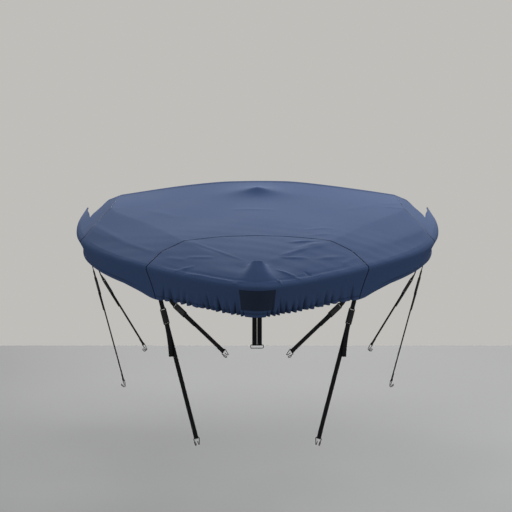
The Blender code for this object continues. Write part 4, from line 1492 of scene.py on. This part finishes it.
@dataclass
class BowPatch(Panel):
    """The smooth reinforcing patch sewn on the skirt at the bow. Its face is bare."""

    half_share: float = 6 / 48
    rises: tuple = (0.03, 0.14)
    lift: float = 0.0019
    patch_cloth: float = 0.0016
    spread: float = 0.12
    edge_drop: float = 0.0012
    edge_width: float = 0.003
    edge_shade: float = 0.7
    edge_shade_width: float = 0.0025

    def widened(self, girth: Array, rise: Array) -> Array:
        """Girths on the patch: it widens downwards, so that its sides stay upright."""
        share = (self.rises[1] - rise) / (self.rises[1] - self.rises[0])
        return girth * (1.0 + self.spread * share)

    def build(self) -> bpy.types.Object:
        """Make the patch, its edges turned down onto the skirt.

        Returns:
            The patch.
        """
        reach = self.drape.bow_seam * self.half_share
        columns = steps_between(-reach, reach, 0.004, (0.0, 0.0008, 0.002))
        rows = steps_between(*self.rises, 0.0035, (0.0, 0.0006, 0.0016))
        girth, rise = np.meshgrid(columns, rows)
        climb = self.drape.stretches(girth, rise)[1]
        beside = reach - np.abs(girth)
        girth = self.widened(girth, rise)
        above = np.minimum(rise - self.rises[0], self.rises[1] - rise) * climb
        edge = np.minimum(beside, above)
        raised = self.lift - self.edge_drop * np.clip(1.0 - edge / self.edge_width, 0.0, 1.0) ** 2
        points, _ = self.drape.outer(girth, rise, raised)
        faces = grid_faces(np.arange(girth.size).reshape(girth.shape))
        # Painted shade along the patch's turned-down edges.
        grime = self.edge_shade * (1.0 - smooth_step(edge, 0.0, self.edge_shade_width))
        flat = (run_length(points[len(rows) // 2]), run_length(points[:, len(columns) // 2]))
        cut = self.cut_map(girth, rise).reshape(-1, 2)
        surface = (points.reshape(-1, 3), faces, cut, grime.ravel())
        return self.make_cloth("bow_patch", surface, Finish.PATCH, flat, "stretched", self.patch_cloth)


@dataclass
class Needlework(Panel):
    """The rows of stitches beside the seams, along the hems and round the patch."""

    beside_seam: float = 0.0045
    in_patch: float = 0.0045
    patch_margin: float = 0.004
    low_end: float = 0.004
    high_end: float = 0.006
    crease_ends: tuple = (0.008, 0.003)
    hem_level: float = 0.02
    short_of_tail: float = 0.05
    samples: int = 500
    stitches: Stitches = field(default_factory=Stitches)

    def row(self, girth: Array, rise: Array, lift: float) -> tuple[Array, Array, Array]:
        """Stitches along a line of girths and rises, at a lift off the cloth."""
        points, normals = self.drape.outer(girth, rise, lift)
        return self.stitches.surface(points, normals)

    def seam_rows(self) -> list[tuple[Array, Array, Array]]:
        """Two rows along each side of the bow seam, the corner seams and the crease seams."""
        drape = self.drape
        sunk = float(self.roll(np.array(self.beside_seam)))
        rows = []
        for side in Side:
            for way in (-1.0, 1.0):
                for seam, top in ((drape.bow_seam, 1.0), (drape.corner_seam, drape.rise_at_crease)):
                    rise = np.linspace(self.low_end, top - self.high_end, self.samples)
                    stretch = drape.stretches(side.value * seam, rise)[0]
                    rows.append(self.row(side.value * (seam + way * self.beside_seam / stretch), rise, sunk))
                first, last = self.crease_ends
                size = np.linspace(drape.corner_seam + first, drape.aft_edge - last, self.samples)
                climb = drape.stretches(side.value * size, drape.rise_at_crease)[1]
                rise = drape.rise_at_crease + way * self.beside_seam / climb
                rows.append(self.row(side.value * size, rise, sunk))
        return rows

    def hem_rows(self) -> list[tuple[Array, Array, Array]]:
        """One row inside the hem all round, the aft edge and the flaps' slanting edges."""
        drape = self.drape
        sunk = float(self.band(np.array(self.thread_line)))
        rows = []
        for side in Side:
            end = drape.tail - self.short_of_tail
            size = np.linspace(0.0, end, 3 * self.samples)
            climb = drape.stretches(side.value * size, self.hem_level + 0 * size)[1]
            rows.append(self.row(side.value * size, self.thread_line / climb, sunk))
            rise = np.linspace(drape.rise_at_crease + self.low_end, 1.0, self.samples)
            stretch = drape.stretches(side.value * drape.aft_edge, rise)[0]
            rows.append(self.row(side.value * (drape.aft_edge - self.thread_line / stretch), rise, sunk))
            top = drape.rise_at_crease - self.high_end
            rise = np.linspace(self.hem_level, top, 2 * self.samples)
            aft = CornerPanel(drape, side=side).aft_end(rise)
            stretch = drape.stretches(side.value * aft, rise)[0]
            rows.append(self.row(side.value * (aft - self.thread_line / self.slant / stretch), rise, sunk))
        return rows

    def patch_row(self) -> tuple[Array, Array, Array]:
        """One row round the patch, just inside its edge."""
        patch = BowPatch(self.drape)
        reach = self.drape.bow_seam * patch.half_share - self.in_patch
        low, high = patch.rises[0] + self.patch_margin, patch.rises[1] - self.patch_margin
        corners = np.array([(-reach, low), (reach, low), (reach, high), (-reach, high), (-reach, low)])
        sides = [np.linspace(a, b, 120)[:-1] for a, b in zip(corners, corners[1:])]
        girth, rise = np.concatenate([*sides, corners[:1]]).T
        return self.row(patch.widened(girth, rise), rise, patch.lift)

    def build(self) -> list[bpy.types.Object]:
        """Make the three pieces of stitching.

        Returns:
            The pieces.
        """
        made = []
        for name, rows in (("seam_stitches", self.seam_rows()), ("hem_stitches", self.hem_rows()),
                           ("patch_stitches", [self.patch_row()])):
            made.append(dress(make_mesh(name, *join_surfaces(rows), Finish.NAVY_THREAD)))
        return made


# Tie-downs -------------------------------------------------------------------------------------
@dataclass(frozen=True)
class Strapping:
    """Sizes that all the webbing shares, and the bends it makes."""

    width: float = 0.025
    thickness: float = 0.0016
    lap: float = 0.0019
    sewn: float = 0.030
    inside: float = 0.030
    buckle_turn: float = 0.0038
    hook_turn: float = 0.0033
    neck: float = 0.012
    twist: float = 0.012

    def section(self) -> Array:
        """The webbing's section: flat faces and rounded selvedges."""
        return slab_section(self.width, self.thickness, 0.00078, 5)

    def lay(self, node: str, path: Array, across: Array) -> bpy.types.Object:
        """Make one length of webbing in the place of a node."""
        woven = Strand(path, across, self.section()).surface()
        return dress(make_mesh(node + "_webbing", *woven, Finish.WEBBING), node)

    def draw_tight(
        self, run: bpy.types.Object, path: Array, fittings: Sequence[bpy.types.Object]
    ) -> None:
        """Take a length of webbing, its path and what hangs on it, and do nothing with them."""

    def turned_end(self, turn: float, lap: float, segments: int = 14) -> Array:
        """A sewn loop as (down, front) from the bar's middle: down the back, round, up the front.

        Args:
            turn: Radius of the webbing's middle round the bar.
            lap: Length that is sewn down.
            segments: Steps round the bar.

        Returns:
            The loop's points.
        """
        neck = self.neck
        angles = np.linspace(math.pi, 0.0, segments + 1)
        bend = np.stack([turn * np.sin(angles), turn * np.cos(angles)], axis=1)
        ease = smooth_step(np.linspace(0.0, 1.0, 6), 0.0, 1.0)
        back = np.stack([-neck + (neck - 0.002) * ease, -self.lap / 2 - (turn - self.lap / 2) * ease], axis=1)
        front = np.stack([back[::-1, 0], -back[::-1, 1]], axis=1)
        down = np.stack([np.linspace(-neck, -neck - lap, 8)[1:], np.full(7, self.lap / 2)], axis=1)
        return np.concatenate([back, bend[1:-1], front, down])


@dataclass(frozen=True)
class Ways:
    """The directions of one strap: down it, to its front and across it."""

    down: Array
    front: Array
    across: Array

    def at(self, origin: Array, local: Array) -> Array:
        """Points given as (down, front) or (down, front, across) from an origin."""
        local = np.asarray(local, float)
        points = origin + local[:, :1] * self.down + local[:, 1:2] * self.front
        return points + local[:, 2:3] * self.across if local.shape[1] > 2 else points


@dataclass
class Buckle:
    """A moulded adjuster: two bars, two slots, side rails and a ribbed body."""

    length: float = 0.095
    width: float = 0.036
    bar: float = 0.0040
    bar_depth: float = 0.0030
    opening: float = 0.0046
    rail_depth: float = 0.0060
    rail: float = 0.0046
    corner: float = 0.0045
    body_inset: float = 0.0035
    body_depth: float = 0.0038
    body_crown: float = 0.0011
    rib_depth: float = 0.0007
    ribs: int = 11
    grip_start: tuple = (0.10, 0.16)
    grip_end: tuple = (0.40, 0.46)
    rim_corner: float = 0.32
    bar_blend: float = 0.0012
    bar_thickening: float = 1.6
    bar_corner: float = 0.0011
    bar_shift: float = 0.001
    bar_inset: float = 0.004
    end_share: float = 0.90
    end_reach: float = 0.101
    end_least: float = 0.15
    shell_powers: tuple = (0.30, 0.55)

    def outline(self) -> tuple[Array, Array, Array]:
        """The rim's path, its width there and its depth there, as a closed loop.

        Returns:
            Points as (down, across), widths and depths.
        """
        half_long = (self.length - self.bar) / 2
        path = slab_section(self.length - self.bar, self.width - self.rail, self.corner, 7)
        on_bar = smooth_step(np.abs(path[:, 0]), half_long - self.corner, half_long - self.bar_blend)
        wide = self.rail + (self.bar - self.rail) * on_bar
        deep = self.rail_depth + (self.bar_depth - self.rail_depth) * on_bar
        return path, wide, deep

    def body(self) -> tuple[Array, Array]:
        """Half width and half depth of the body along the buckle, as (down, half width), depth."""
        start = self.bar + self.opening
        end = self.length - start
        share = np.linspace(0.0, 1.0, 61)
        along = start + (end - start) * share - self.bar / 2
        near_end = np.clip(np.abs(2 * share - 1) - self.end_share, 0, 1) / self.end_reach
        rounding = np.sqrt(np.clip(1.0 - near_end ** 2, 0, 1))
        ribs = 0.5 - 0.5 * np.cos(share * (2 * self.ribs) * math.pi)
        grip = smooth_step(share, *self.grip_start) * (1 - smooth_step(share, *self.grip_end))
        depth = self.body_depth + self.body_crown * rounding - self.rib_depth * (1 - ribs) * grip
        half_width = np.full_like(along, self.width / 2 - self.body_inset)
        return np.stack([along, half_width], axis=1), depth * np.maximum(rounding, self.end_least)

    def build(self, name: str, top: Array, ways: Ways) -> bpy.types.Object:
        """Make the buckle: its rim, its bars and its body in one piece.

        Args:
            name: The buckle's node.
            top: Middle of its top bar.
            ways: The strap's directions.

        Returns:
            The buckle.
        """
        flat, wide, deep = self.outline()
        centre = top + ways.down * (self.length - self.bar) / 2
        path = ways.at(centre, np.stack([flat[:, 0], 0 * wide, flat[:, 1]], axis=1))
        unit_slab = slab_section(1.0, 1.0, self.rim_corner, 5)
        sections = unit_slab[None] * np.stack([wide, deep], axis=1)[:, None, :]
        outward = unit(path - np.roll(path, 1, axis=0))
        across = np.cross(outward, ways.front[None, :])
        rim = Strand(path, across, sections, ring=True).surface()
        half, depth = self.body()
        turn = 2 * math.pi * np.arange(36) / 36
        c, s = np.cos(turn), np.sin(turn)
        wide_power, deep_power = self.shell_powers
        shell = np.sign(c) * np.abs(c) ** wide_power, np.sign(s) * np.abs(s) ** deep_power
        shell = np.stack(shell, axis=1)
        body_path = top + half[:, :1] * ways.down
        body_section = shell[None] * np.stack([half[:, 1], depth], axis=1)[:, None, :]
        body_across = np.broadcast_to(ways.across, body_path.shape)
        body = Strand(body_path, body_across, body_section).surface()
        bars = []
        for place in (self.bar + self.opening, self.length - self.bar - self.opening - self.bar):
            at = top + ways.down * (place + self.bar_shift)
            line = at + np.linspace(-1, 1, 9)[:, None] * ways.across * (self.width / 2 - self.bar_inset)
            section = slab_section(self.bar, self.bar_depth * self.bar_thickening, self.bar_corner, 4)
            bars.append(Strand(line, np.broadcast_to(ways.down, line.shape), section).surface())
        whole = join_surfaces([rim, body, *bars])
        return dress(make_mesh(name + "_moulding", *whole, Finish.BUCKLE), name)


@dataclass
class WireHook:
    """A double hook bent from one wire: a top bar, two legs and two turned-up prongs."""

    wire: float = 0.0040
    half_width: float = 0.0175
    corner: float = 0.0030
    tip_half_width: float = 0.0095
    leg: float = 0.030
    bend: float = 0.0085
    prong: float = 0.011

    def local(self) -> Array:
        """The wire's middle as (down, front, across) from the middle of the top bar."""
        prong = np.array([[self.leg - self.prong, 2 * self.bend, self.tip_half_width]])
        turn = np.linspace(0.0, math.pi, 17)
        bend = np.stack([
            self.leg + self.bend * np.sin(turn),
            self.bend + self.bend * np.cos(turn),
            np.full_like(turn, self.tip_half_width),
        ], axis=1)
        legs = np.array([[self.corner, 0.0, self.half_width]])
        angle = np.linspace(0.0, math.pi / 2, 7)[1:]
        shoulder = np.stack([
            self.corner * (1 - np.sin(angle)), 0 * angle, self.half_width - self.corner * (1 - np.cos(angle)),
        ], axis=1)
        half = np.concatenate([prong, bend, legs, shoulder])
        return np.concatenate([half, half[::-1] * np.array([1.0, 1.0, -1.0])])

    def build(self, name: str, bar: Array, ways: Ways) -> bpy.types.Object:
        """Make the hook.

        Args:
            name: The hook's node.
            bar: Middle of its top bar.
            ways: The strap's directions.

        Returns:
            The hook.
        """
        path = evenly(ways.at(bar, self.local()), 0.0011)
        tangent = unit(np.gradient(path, axis=0))
        side = unit(np.cross(tangent, ways.front + 0.31 * ways.down + 0.17 * ways.across))
        bent = Strand(path, side, round_section(self.wire)).surface()
        return dress(make_mesh(name + "_wire", *bent, Finish.WIRE), name)


@dataclass
class Sewing:
    """Webbing sewn to the skirt's inside on its strap's own slant."""

    drape: Drape
    girth: float
    gap: float
    strapping: Strapping

    def inside(self, along: float, rise: float) -> Array:
        """The webbing's middle against the skirt's inside, at a girth further along and a rise."""
        spot = np.array([self.girth + along]), np.array([rise])
        outward = unit(np.cross(*self.drape.slopes(*spot)))[0]
        depth = self.drape.cloth + self.gap + self.strapping.thickness / 2
        return self.drape.base(*spot)[0] - outward * depth

    def path(self, ways: Ways, flat: Array, loop: Array) -> tuple[Array, Array]:
        """The webbing's path from inside the skirt, past the hem, to its turned-back end.

        Args:
            ways: The strap's directions.
            flat: The point by which the webbing has turned to the strap's own direction.
            loop: The rest of its path.

        Returns:
            The path's points, and the across vector at each of them.
        """
        along, upward = (found[0] for found in self.drape.slopes(np.array([self.girth]), np.array([0.0])))
        outward = unit(np.cross(along, upward))
        slant = unit(np.dot(ways.down, outward) * outward - ways.down)
        steps = np.linalg.lstsq(np.stack([along, upward], axis=1), slant, rcond=None)[0]
        sewn = [self.inside(*(reach * steps)) for reach in np.linspace(self.strapping.inside, 0.0, 6)]
        lie = np.cross(outward, slant)
        lie = lie if np.dot(lie, ways.across) > 0 else -lie
        count = max(6, int(np.linalg.norm(flat - sewn[-1]) / 0.006))
        shares = np.linspace(0.0, 1.0, count + 1)[1:, None]
        twist = sewn[-1] + (flat - sewn[-1]) * shares
        turning = unit(lie * (1 - shares) + ways.across * shares)
        across = [np.broadcast_to(lie, (len(sewn), 3)), turning, np.broadcast_to(ways.across, loop.shape)]
        return np.concatenate([sewn, twist, loop]), np.concatenate(across)


@dataclass
class TieDown:
    """One strap from the hem to its hook, with its buckle and its free tail."""

    drape: Drape
    name: str
    side: Side
    hem_girth: float
    hook: tuple[float, float, float]
    tab: float
    tail: float
    hang: float
    facing: float
    tab_gap: float = 0.0010
    tail_steps: int = 20
    swing: float = 0.55
    forward: float = 0.10
    sway: float = 0.15
    hug: float = 0.03
    bend_start: float = 1.5
    strapping: Strapping = field(default_factory=Strapping)
    buckle: Buckle = field(default_factory=Buckle)
    wire_hook: WireHook = field(default_factory=WireHook)

    def build(self) -> list[bpy.types.Object]:
        """Make the tab, the buckle, the run, the tail and the hook.

        Returns:
            The five pieces.
        """
        strap = self.strapping
        label = f"{self.name}_{self.side.label}"
        sewing = Sewing(self.drape, self.side.value * self.hem_girth, self.tab_gap, strap)
        inside = sewing.inside(0.0, 0.0)
        end = np.array([self.side.value * self.hook[0], self.hook[1], self.hook[2] - self.drape.deck_drop])
        down = unit(end - inside)
        angle = math.radians(self.facing)
        face = np.array([self.side.value * math.sin(angle), -math.cos(angle), 0.0])
        across = unit(np.cross(down, face))
        ways = Ways(down, unit(np.cross(across, down)), across)

        top_bar = inside + down * self.tab
        lap = self.tab - strap.neck - strap.twist - 0.002
        loop = ways.at(top_bar, strap.turned_end(strap.buckle_turn, lap))
        flat = ways.at(top_bar, np.array([(strap.twist - self.tab, -strap.lap / 2)]))[0]
        tab = strap.lay("tab_" + label, *sewing.path(ways, flat, loop))
        buckle = self.buckle.build("buckle_" + label, top_bar, ways)

        low_bar = top_bar + down * (self.buckle.length - self.buckle.bar)
        hook_bar = end - down * (self.wire_hook.leg + self.wire_hook.bend)
        turn = strap.buckle_turn
        angles = np.linspace(self.bend_start, 0.0, 9)
        bend = np.stack([-turn * np.sin(angles), -turn * np.cos(angles)], axis=1)
        start = ways.at(low_bar, np.concatenate([bend, [(0.004, -turn), (0.020, -strap.lap / 2)]]))
        finish = ways.at(hook_bar, strap.turned_end(strap.hook_turn, strap.sewn))
        middle = evenly(np.array([start[-1], finish[0]]), 0.020)[1:-1]
        run_path = np.concatenate([start, middle, finish])
        run = strap.lay("run_" + label, run_path, np.broadcast_to(across, run_path.shape))

        bend = bend * np.array([1.0, -1.0])
        hang = ways.at(low_bar, np.concatenate([bend, [(0.010, turn + 0.001)]]))
        lean = ((np.arange(self.tail_steps) + 1) / self.tail_steps)[:, None]
        plumb = (1 - self.swing * self.hang) * down + np.array([0.0, 0.0, -self.hang])
        plumb = unit(plumb + self.forward * self.hang * ways.front)
        sway = unit(down + (self.sway * self.hang - self.hug) * ways.front)
        drop = np.cumsum(self.tail / self.tail_steps * unit(sway * (1 - lean) + plumb * lean), axis=0)
        tail_path = np.concatenate([hang, hang[-1] + drop])
        tail = strap.lay("tail_" + label, tail_path, np.broadcast_to(across, tail_path.shape))
        hook = self.wire_hook.build("hook_" + label, hook_bar, ways)
        strap.draw_tight(run, run_path, [tail, hook])
        return [tab, buckle, run, tail, hook]


@dataclass
class CentreStraps:
    """The two short webbings at the bow point and the wire ring that they share."""

    drape: Drape
    girths: tuple = (("run_bow_left", -0.0270), ("run_bow_right", 0.0186))
    gap: float = 0.0019
    drop: float = 0.150
    ring_half_width: float = 0.034
    ring_half_height: float = 0.009
    ring_corner: float = 0.006
    wire: float = 0.004
    strapping: Strapping = field(default_factory=Strapping)

    def build(self) -> list[bpy.types.Object]:
        """Make both webbings and the ring.

        Returns:
            The three pieces.
        """
        strap = self.strapping
        ways = Ways(np.array([0.0, 0.0, -1.0]), np.array([0.0, -1.0, 0.0]), np.array([1.0, 0.0, 0.0]))
        hems = [Sewing(self.drape, girth, self.gap, strap) for _, girth in self.girths]
        inside = [hem.inside(0.0, 0.0) for hem in hems]
        ring_bar = sum(inside) / len(inside) + ways.front * strap.lap / 2 + ways.down * self.drop
        ring = self.ring(ring_bar, ways)
        made = [ring]
        for (node, _), hem, start in zip(self.girths, hems, inside):
            bar = ring_bar + ways.across * (start[0] - ring_bar[0])
            loop = ways.at(bar, strap.turned_end(strap.hook_turn, strap.sewn))
            flat = ways.at(bar, np.array([(-strap.neck - strap.sewn - 0.006, -strap.lap / 2)]))[0]
            path, across = hem.path(ways, flat, loop)
            piece = strap.lay(node, path, across)
            strap.draw_tight(piece, path, [ring])
            made.append(piece)
        return made

    def ring(self, bar: Array, ways: Ways) -> bpy.types.Object:
        """Make the flat wire ring, its top side lying in the webbings' loops."""
        half_height = self.ring_half_height
        across, height = slab_section(2 * self.ring_half_width, 2 * half_height, self.ring_corner, 7).T
        path = ways.at(bar, np.stack([half_height - height, 0 * height, across], axis=1))
        side = np.broadcast_to(ways.front, path.shape)
        bent = Strand(path, side, round_section(self.wire), ring=True).surface()
        return dress(make_mesh("ring_bow_wire", *bent, Finish.WIRE), "ring_bow")


# name, hem girth, hook's tip, hem to buckle, free tail, how freely it hangs, degrees it faces aside
TIE_DOWNS: tuple = (
    ("quarter", 1.7522, (0.827, 0.060, -0.950), 0.060, 0.110, 0.0, 64.0),
    ("side", 1.5845, (0.660, -0.330, -0.620), 0.034, 0.085, 0.0, 66.0),
    ("front", 0.8197, (0.327, -1.152, -0.950), 0.062, 0.175, 1.0, 14.0),
    ("brace", 0.7201, (0.160, -1.150, -0.446), 0.036, 0.070, 0.0, 30.0),
)


# The studio ------------------------------------------------------------------------------------
@dataclass
class Studio:
    """Camera, soft lights, pale surroundings and the floor."""

    camera_y: float = -9.6
    camera_z: float = 1.612
    pitch: float = 10.83
    focal_pixels: float = 1600.0
    centreline_pixel: float = 257.5
    picture: float = 512.0
    sensor: float = 36.0
    floor_z: float = -1.50
    floor_x: tuple = (-9.0, 9.0)
    floor_y: tuple = (-13.0, 2.85)
    wall: Colour = (0.527, 0.515, 0.490)
    light_from_wall: float = 0.50

    def camera(self) -> None:
        """Set up the camera: the photograph's place, tilt and lens."""
        lens = bpy.data.cameras.new("camera")
        lens.sensor_width = self.sensor
        lens.lens = self.sensor * self.focal_pixels / self.picture
        lens.shift_x = (self.picture / 2 - self.centreline_pixel) / self.picture
        lens.clip_end = 100.0
        holder = bpy.data.objects.new("camera", lens)
        holder.location = (0.0, self.camera_y, self.camera_z)
        holder.rotation_euler = (math.radians(90.0 - self.pitch), 0.0, 0.0)
        bpy.context.collection.objects.link(holder)
        bpy.context.scene.camera = holder

    def surroundings(self) -> None:
        """Paint what lies behind the floor: pale to the eye, softer as a light."""
        world = bpy.data.worlds.new("studio")
        world.use_nodes = True
        tree = world.node_tree
        seen = tree.nodes["Background"]
        seen.inputs["Color"].default_value = (*self.wall, 1.0)
        lit = tree.nodes.new("ShaderNodeBackground")
        lit.inputs["Color"].default_value = (*self.wall, 1.0)
        lit.inputs["Strength"].default_value = self.light_from_wall
        rays = tree.nodes.new("ShaderNodeLightPath")
        mix = tree.nodes.new("ShaderNodeMixShader")
        tree.links.new(rays.outputs["Is Camera Ray"], mix.inputs[0])
        tree.links.new(lit.outputs[0], mix.inputs[1])
        tree.links.new(seen.outputs[0], mix.inputs[2])
        tree.links.new(mix.outputs[0], tree.nodes["World Output"].inputs["Surface"])
        bpy.context.scene.world = world

    def lamp(self, name: str, place: Colour, aim: Colour, size: tuple[float, float], power: float) -> None:
        """Hang one large soft light.

        Args:
            name: The light's name.
            place: Where it hangs.
            aim: The point that it faces.
            size: Its width and height, in metres.
            power: Its power, in watts.
        """
        light = bpy.data.lights.new(name, "AREA")
        light.shape = "RECTANGLE"
        light.size, light.size_y = size
        light.energy = power
        holder = bpy.data.objects.new(name, light)
        holder.location = place
        holder.rotation_euler = (Vector(aim) - Vector(place)).to_track_quat("-Z", "Y").to_euler()
        bpy.context.collection.objects.link(holder)

    def floor(self) -> bpy.types.Object:
        """Lay the floor: a plane that ends in a soft step of tone behind the cover."""
        columns, rows = (np.linspace(*ends, 13) for ends in (self.floor_x, self.floor_y))
        x, y = np.meshgrid(columns, rows)
        points = np.stack([x, y, np.full_like(x, self.floor_z)], axis=-1).reshape(-1, 3)
        faces = grid_faces(np.arange(x.size).reshape(x.shape))
        piece = make_mesh("floor", points, faces, points[:, :2], Finish.GROUND)
        return piece

    def build(self) -> None:
        """Set up the whole studio."""
        bpy.context.scene.view_settings.view_transform = "Standard"
        self.camera()
        self.surroundings()
        self.lamp("low_behind", (0.8, 8.0, 2.5), (0.8, 0.0, 0.0), (10.0, 1.4), 950.0)
        self.lamp("overhead", (1.4, 0.9, 4.6), (1.4, -0.1, 0.0), (6.0, 4.0), 150.0)
        for side in Side:
            x = 6.2 * side.value
            self.lamp("fill_" + side.label, (x, -3.2, -0.5), (0.1 * x, -0.3, -0.2), (4.0, 1.2), 62.0)
        self.floor()


def main() -> None:
    """Build the studio, the tie-downs and the cover, and report each piece."""
    logging.basicConfig(level=logging.INFO, format="%(name)s: %(message)s")
    Studio().build()
    drape = Drape()
    uncut = Drape(trim=(0.0,) * len(drape.trim), sag=0.0, dip=0.0, tuck=0.0)
    made: list[bpy.types.Object] = []
    for name, *sizes in TIE_DOWNS:
        for side in Side:
            made += TieDown(uncut, name, side, *sizes).build()
    made += CentreStraps(uncut).build()
    for panel in (BowPanel(drape), DeckPanel(drape), BowPatch(drape),
                  CornerPanel(drape, side=Side.LEFT), CornerPanel(drape, side=Side.RIGHT)):
        made.append(panel.build())
    made += Needlework(drape).build()
    for piece in made:
        LOG.info("%s: %d faces", piece.name, len(piece.data.polygons))


if __name__ == "__main__":
    main()
